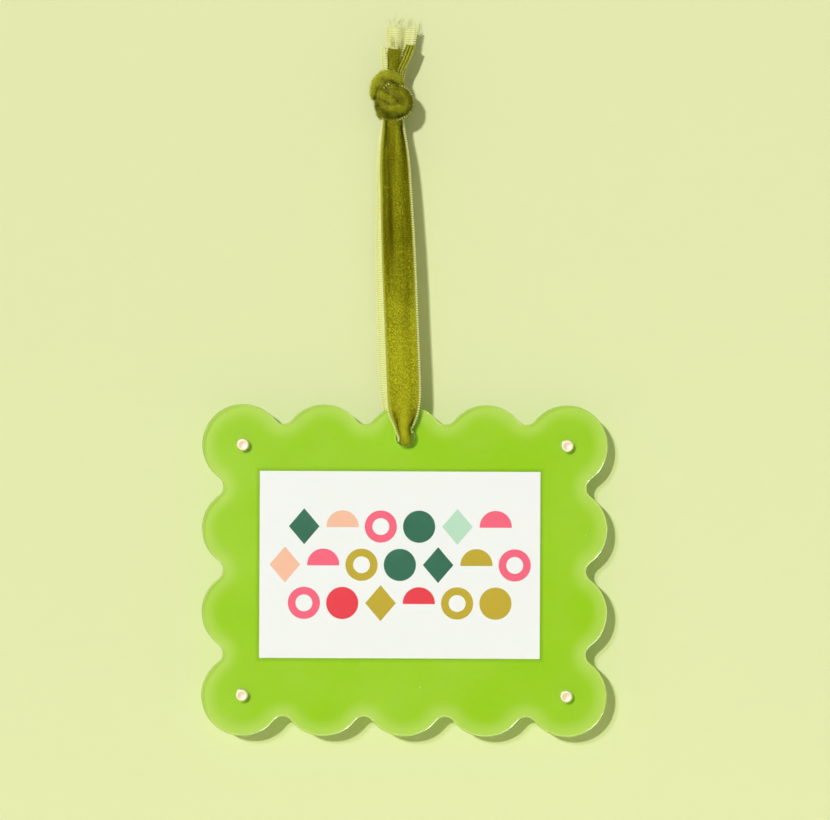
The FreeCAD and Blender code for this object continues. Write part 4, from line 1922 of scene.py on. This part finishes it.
@dataclass
class Studio:
    """The pale stage, its lamps and the camera."""

    photo: tuple[int, int] = (830, 820)
    pixels_per_mm: float = 3.68
    loop_top_pixel: tuple[float, float] = (391.5, 123.0)
    distance: float = 900.0
    roll: float = -0.25
    wall: float = 6.6
    wall_lean: float = 0.019
    floor: float = -330.0
    half: float = 1.5
    key: float = 2.25
    fill: float = 0.28
    sky: Colour = (0.99, 0.99, 1.04, 1.0)
    dark_round: tuple[float, float] = (-0.97, -0.75)

    def build(self, stage: Material) -> None:
        """Set the stage, the light and the camera.

        Args:
            stage: the finish of the backdrop and the floor.
        """
        self._plane("backdrop", (-1.5, 1.5), stage, upright=True)
        self._plane("floor", (-1.6, 1.0), stage, upright=False)
        self._sun("key", Vector((0.33, 1.0, -0.28)), self.key, 2.5)
        self._sun("back_fill", Vector((-0.4, -1.0, -0.5)), self.key * 0.45, 20.0)
        self._world()
        self._camera()

    def _plane(self, name: str, reach: tuple[float, float], finish: Material, upright: bool) -> None:
        """One plane of the stage.

        Args:
            name: its name.
            reach: where it starts and ends, upwards or to the back, in metres.
            finish: its finish.
            upright: whether it stands behind the ornament or lies below it.
        """
        mesh = bpy.data.meshes.new(name)
        near, far = reach
        corners = ((-self.half, near), (self.half, near), (self.half, far), (-self.half, far))
        if upright:
            points = [(x, self.wall * MM - z * self.wall_lean, z) for x, z in corners]
        else:
            points = [(x, y, self.floor * MM) for x, y in corners]
        mesh.from_pydata(points, [], [(0, 1, 2, 3)])
        mesh.materials.append(finish)
        made = linked(name, mesh)

    def _sun(self, name: str, way: Vector, strength: float, spread: float) -> None:
        """A lamp far away.

        Args:
            name: its name.
            way: the way its light travels.
            strength: how strong it is.
            spread: how wide it looks, in degrees.
        """
        lamp = bpy.data.lights.new(name, "SUN")
        lamp.energy = strength
        lamp.angle = math.radians(spread)
        made = linked(name, lamp)
        made.rotation_mode = "QUATERNION"
        made.rotation_quaternion = way.to_track_quat("-Z", "Y")

    def _world(self) -> None:
        """An even pale sky, white through glass, and dark round the camera where gloss shows it."""
        world = bpy.data.worlds.new("studio")
        bpy.context.scene.world = world
        world.use_nodes = True
        w = Wiring(world.node_tree)
        path = w.add("ShaderNodeLightPath").outputs
        seen = w.most(path["Is Camera Ray"], path["Is Transmission Ray"])
        direct = w.math("LESS_THAN", path["Diffuse Depth"], 0.5)
        lit = w.times(w.times(seen, direct), 1.0 - self.fill, self.fill)
        way = w.apart(w.add("ShaderNodeTexCoord").outputs["Generated"])
        mirrored = w.times(w.ramp(way[1], *self.dark_round), 0.6, 0.05)
        glossy = w.times(path["Is Glossy Ray"], direct)
        strength = w.add("ShaderNodeMix", {0: glossy, 2: lit, 3: mirrored}, data_type="FLOAT")
        w.feed(world.node_tree.nodes["Background"], {"Color": self.sky, "Strength": strength})

    def _camera(self) -> None:
        """The camera, square on to the panels from the photograph's middle."""
        lens = bpy.data.cameras.new("camera")
        across, down = self.photo
        width = across / self.pixels_per_mm
        lens.sensor_width = 36.0
        lens.lens = lens.sensor_width * self.distance / width
        lens.clip_start = 0.01
        x = (across / 2 - self.loop_top_pixel[0]) / self.pixels_per_mm
        z = -(down / 2 - self.loop_top_pixel[1]) / self.pixels_per_mm
        made = linked("camera", lens)
        made.location = Vector((x, -self.distance, z)) * MM
        made.rotation_euler = (math.pi / 2, math.radians(self.roll), 0.0)
        bpy.context.scene.camera = made


# The ornament


def panel_holes(centre: Vector) -> list[Seat]:
    """The four magnet seats and the hanging hole of a panel.

    Args:
        centre: the panel's middle.

    Returns:
        The holes, across and up from that middle.
    """
    holes = [Seat(0.0, -Ribbon.drop - centre.z, Ribbon.hole_radius)]
    for corner in CORNERS:
        low, high = box_mm(f"front_magnet_{corner}")
        middle = (low + high) / 2
        radius = (high.x - low.x) / 2 + SEAT_CLEARANCE
        holes.append(Seat(middle.x - centre.x, middle.z - centre.z, radius))
    return holes


def main() -> None:
    """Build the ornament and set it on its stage."""
    logging.basicConfig(level=logging.INFO, format="%(name)s: %(message)s")
    effects = Effects()
    low, high = box_mm("back_panel")
    centre = (low + high) / 2
    outline = ScallopOutline(centre)
    holes = panel_holes(centre)
    card_low, card_high = box_mm("photo_card")
    lime = LimeAcrylic("lime_acrylic", card_low, card_high).build(effects)
    clear = ClearAcrylic("clear_acrylic").build(effects)
    plating = RosePlating("rose_plating").build(effects)
    middle = (card_low + card_high) / 2
    printed = PrintedCard("printed_card", (middle.x, middle.z)).build(effects)
    # The fuzz's dark foot is painted shade and its pale tip painted sheen, as on the pile.
    fuzz = PileFibre("knot_fuzz", foot=(0.20, 0.20, 0.005, 1.0), tip=(0.92, 0.94, 0.28, 1.0))
    ribbon = Ribbon(
        MossVelvet("moss_velvet").build(effects),
        SatinBacking("satin_backing").build(effects),
        EdgeThread("edge_thread").build(effects),
        PileFibre("pile_fibre").build(effects),
        fuzz.build(effects),
    )
    drilled = DrilledEdge("drilled_edge").build(effects)
    pieces = [
        ScallopedPanel("lime_panel", "back_panel", "green_acrylic", lime, outline, holes).build(),
        ScallopedPanel(
            "clear_panel", "front_panel", "clear_acrylic", clear, outline, holes, drilled, 0.12
        ).build(),
        PhotoCard(printed).build(),
        Magnets(MagnetSide.FRONT, plating).build(),
        Magnets(MagnetSide.REAR, plating).build(),
    ]
    cloth = ribbon.build()
    pieces += cloth
    for piece in pieces:
        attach(piece, "root")
        log.info("%s: %d faces", piece.name, len(piece.data.polygons))
    Studio().build(PaleStage("pale_stage").build(effects))
    bpy.context.scene.view_settings.view_transform = "Standard"


if __name__ == "__main__":
    main()
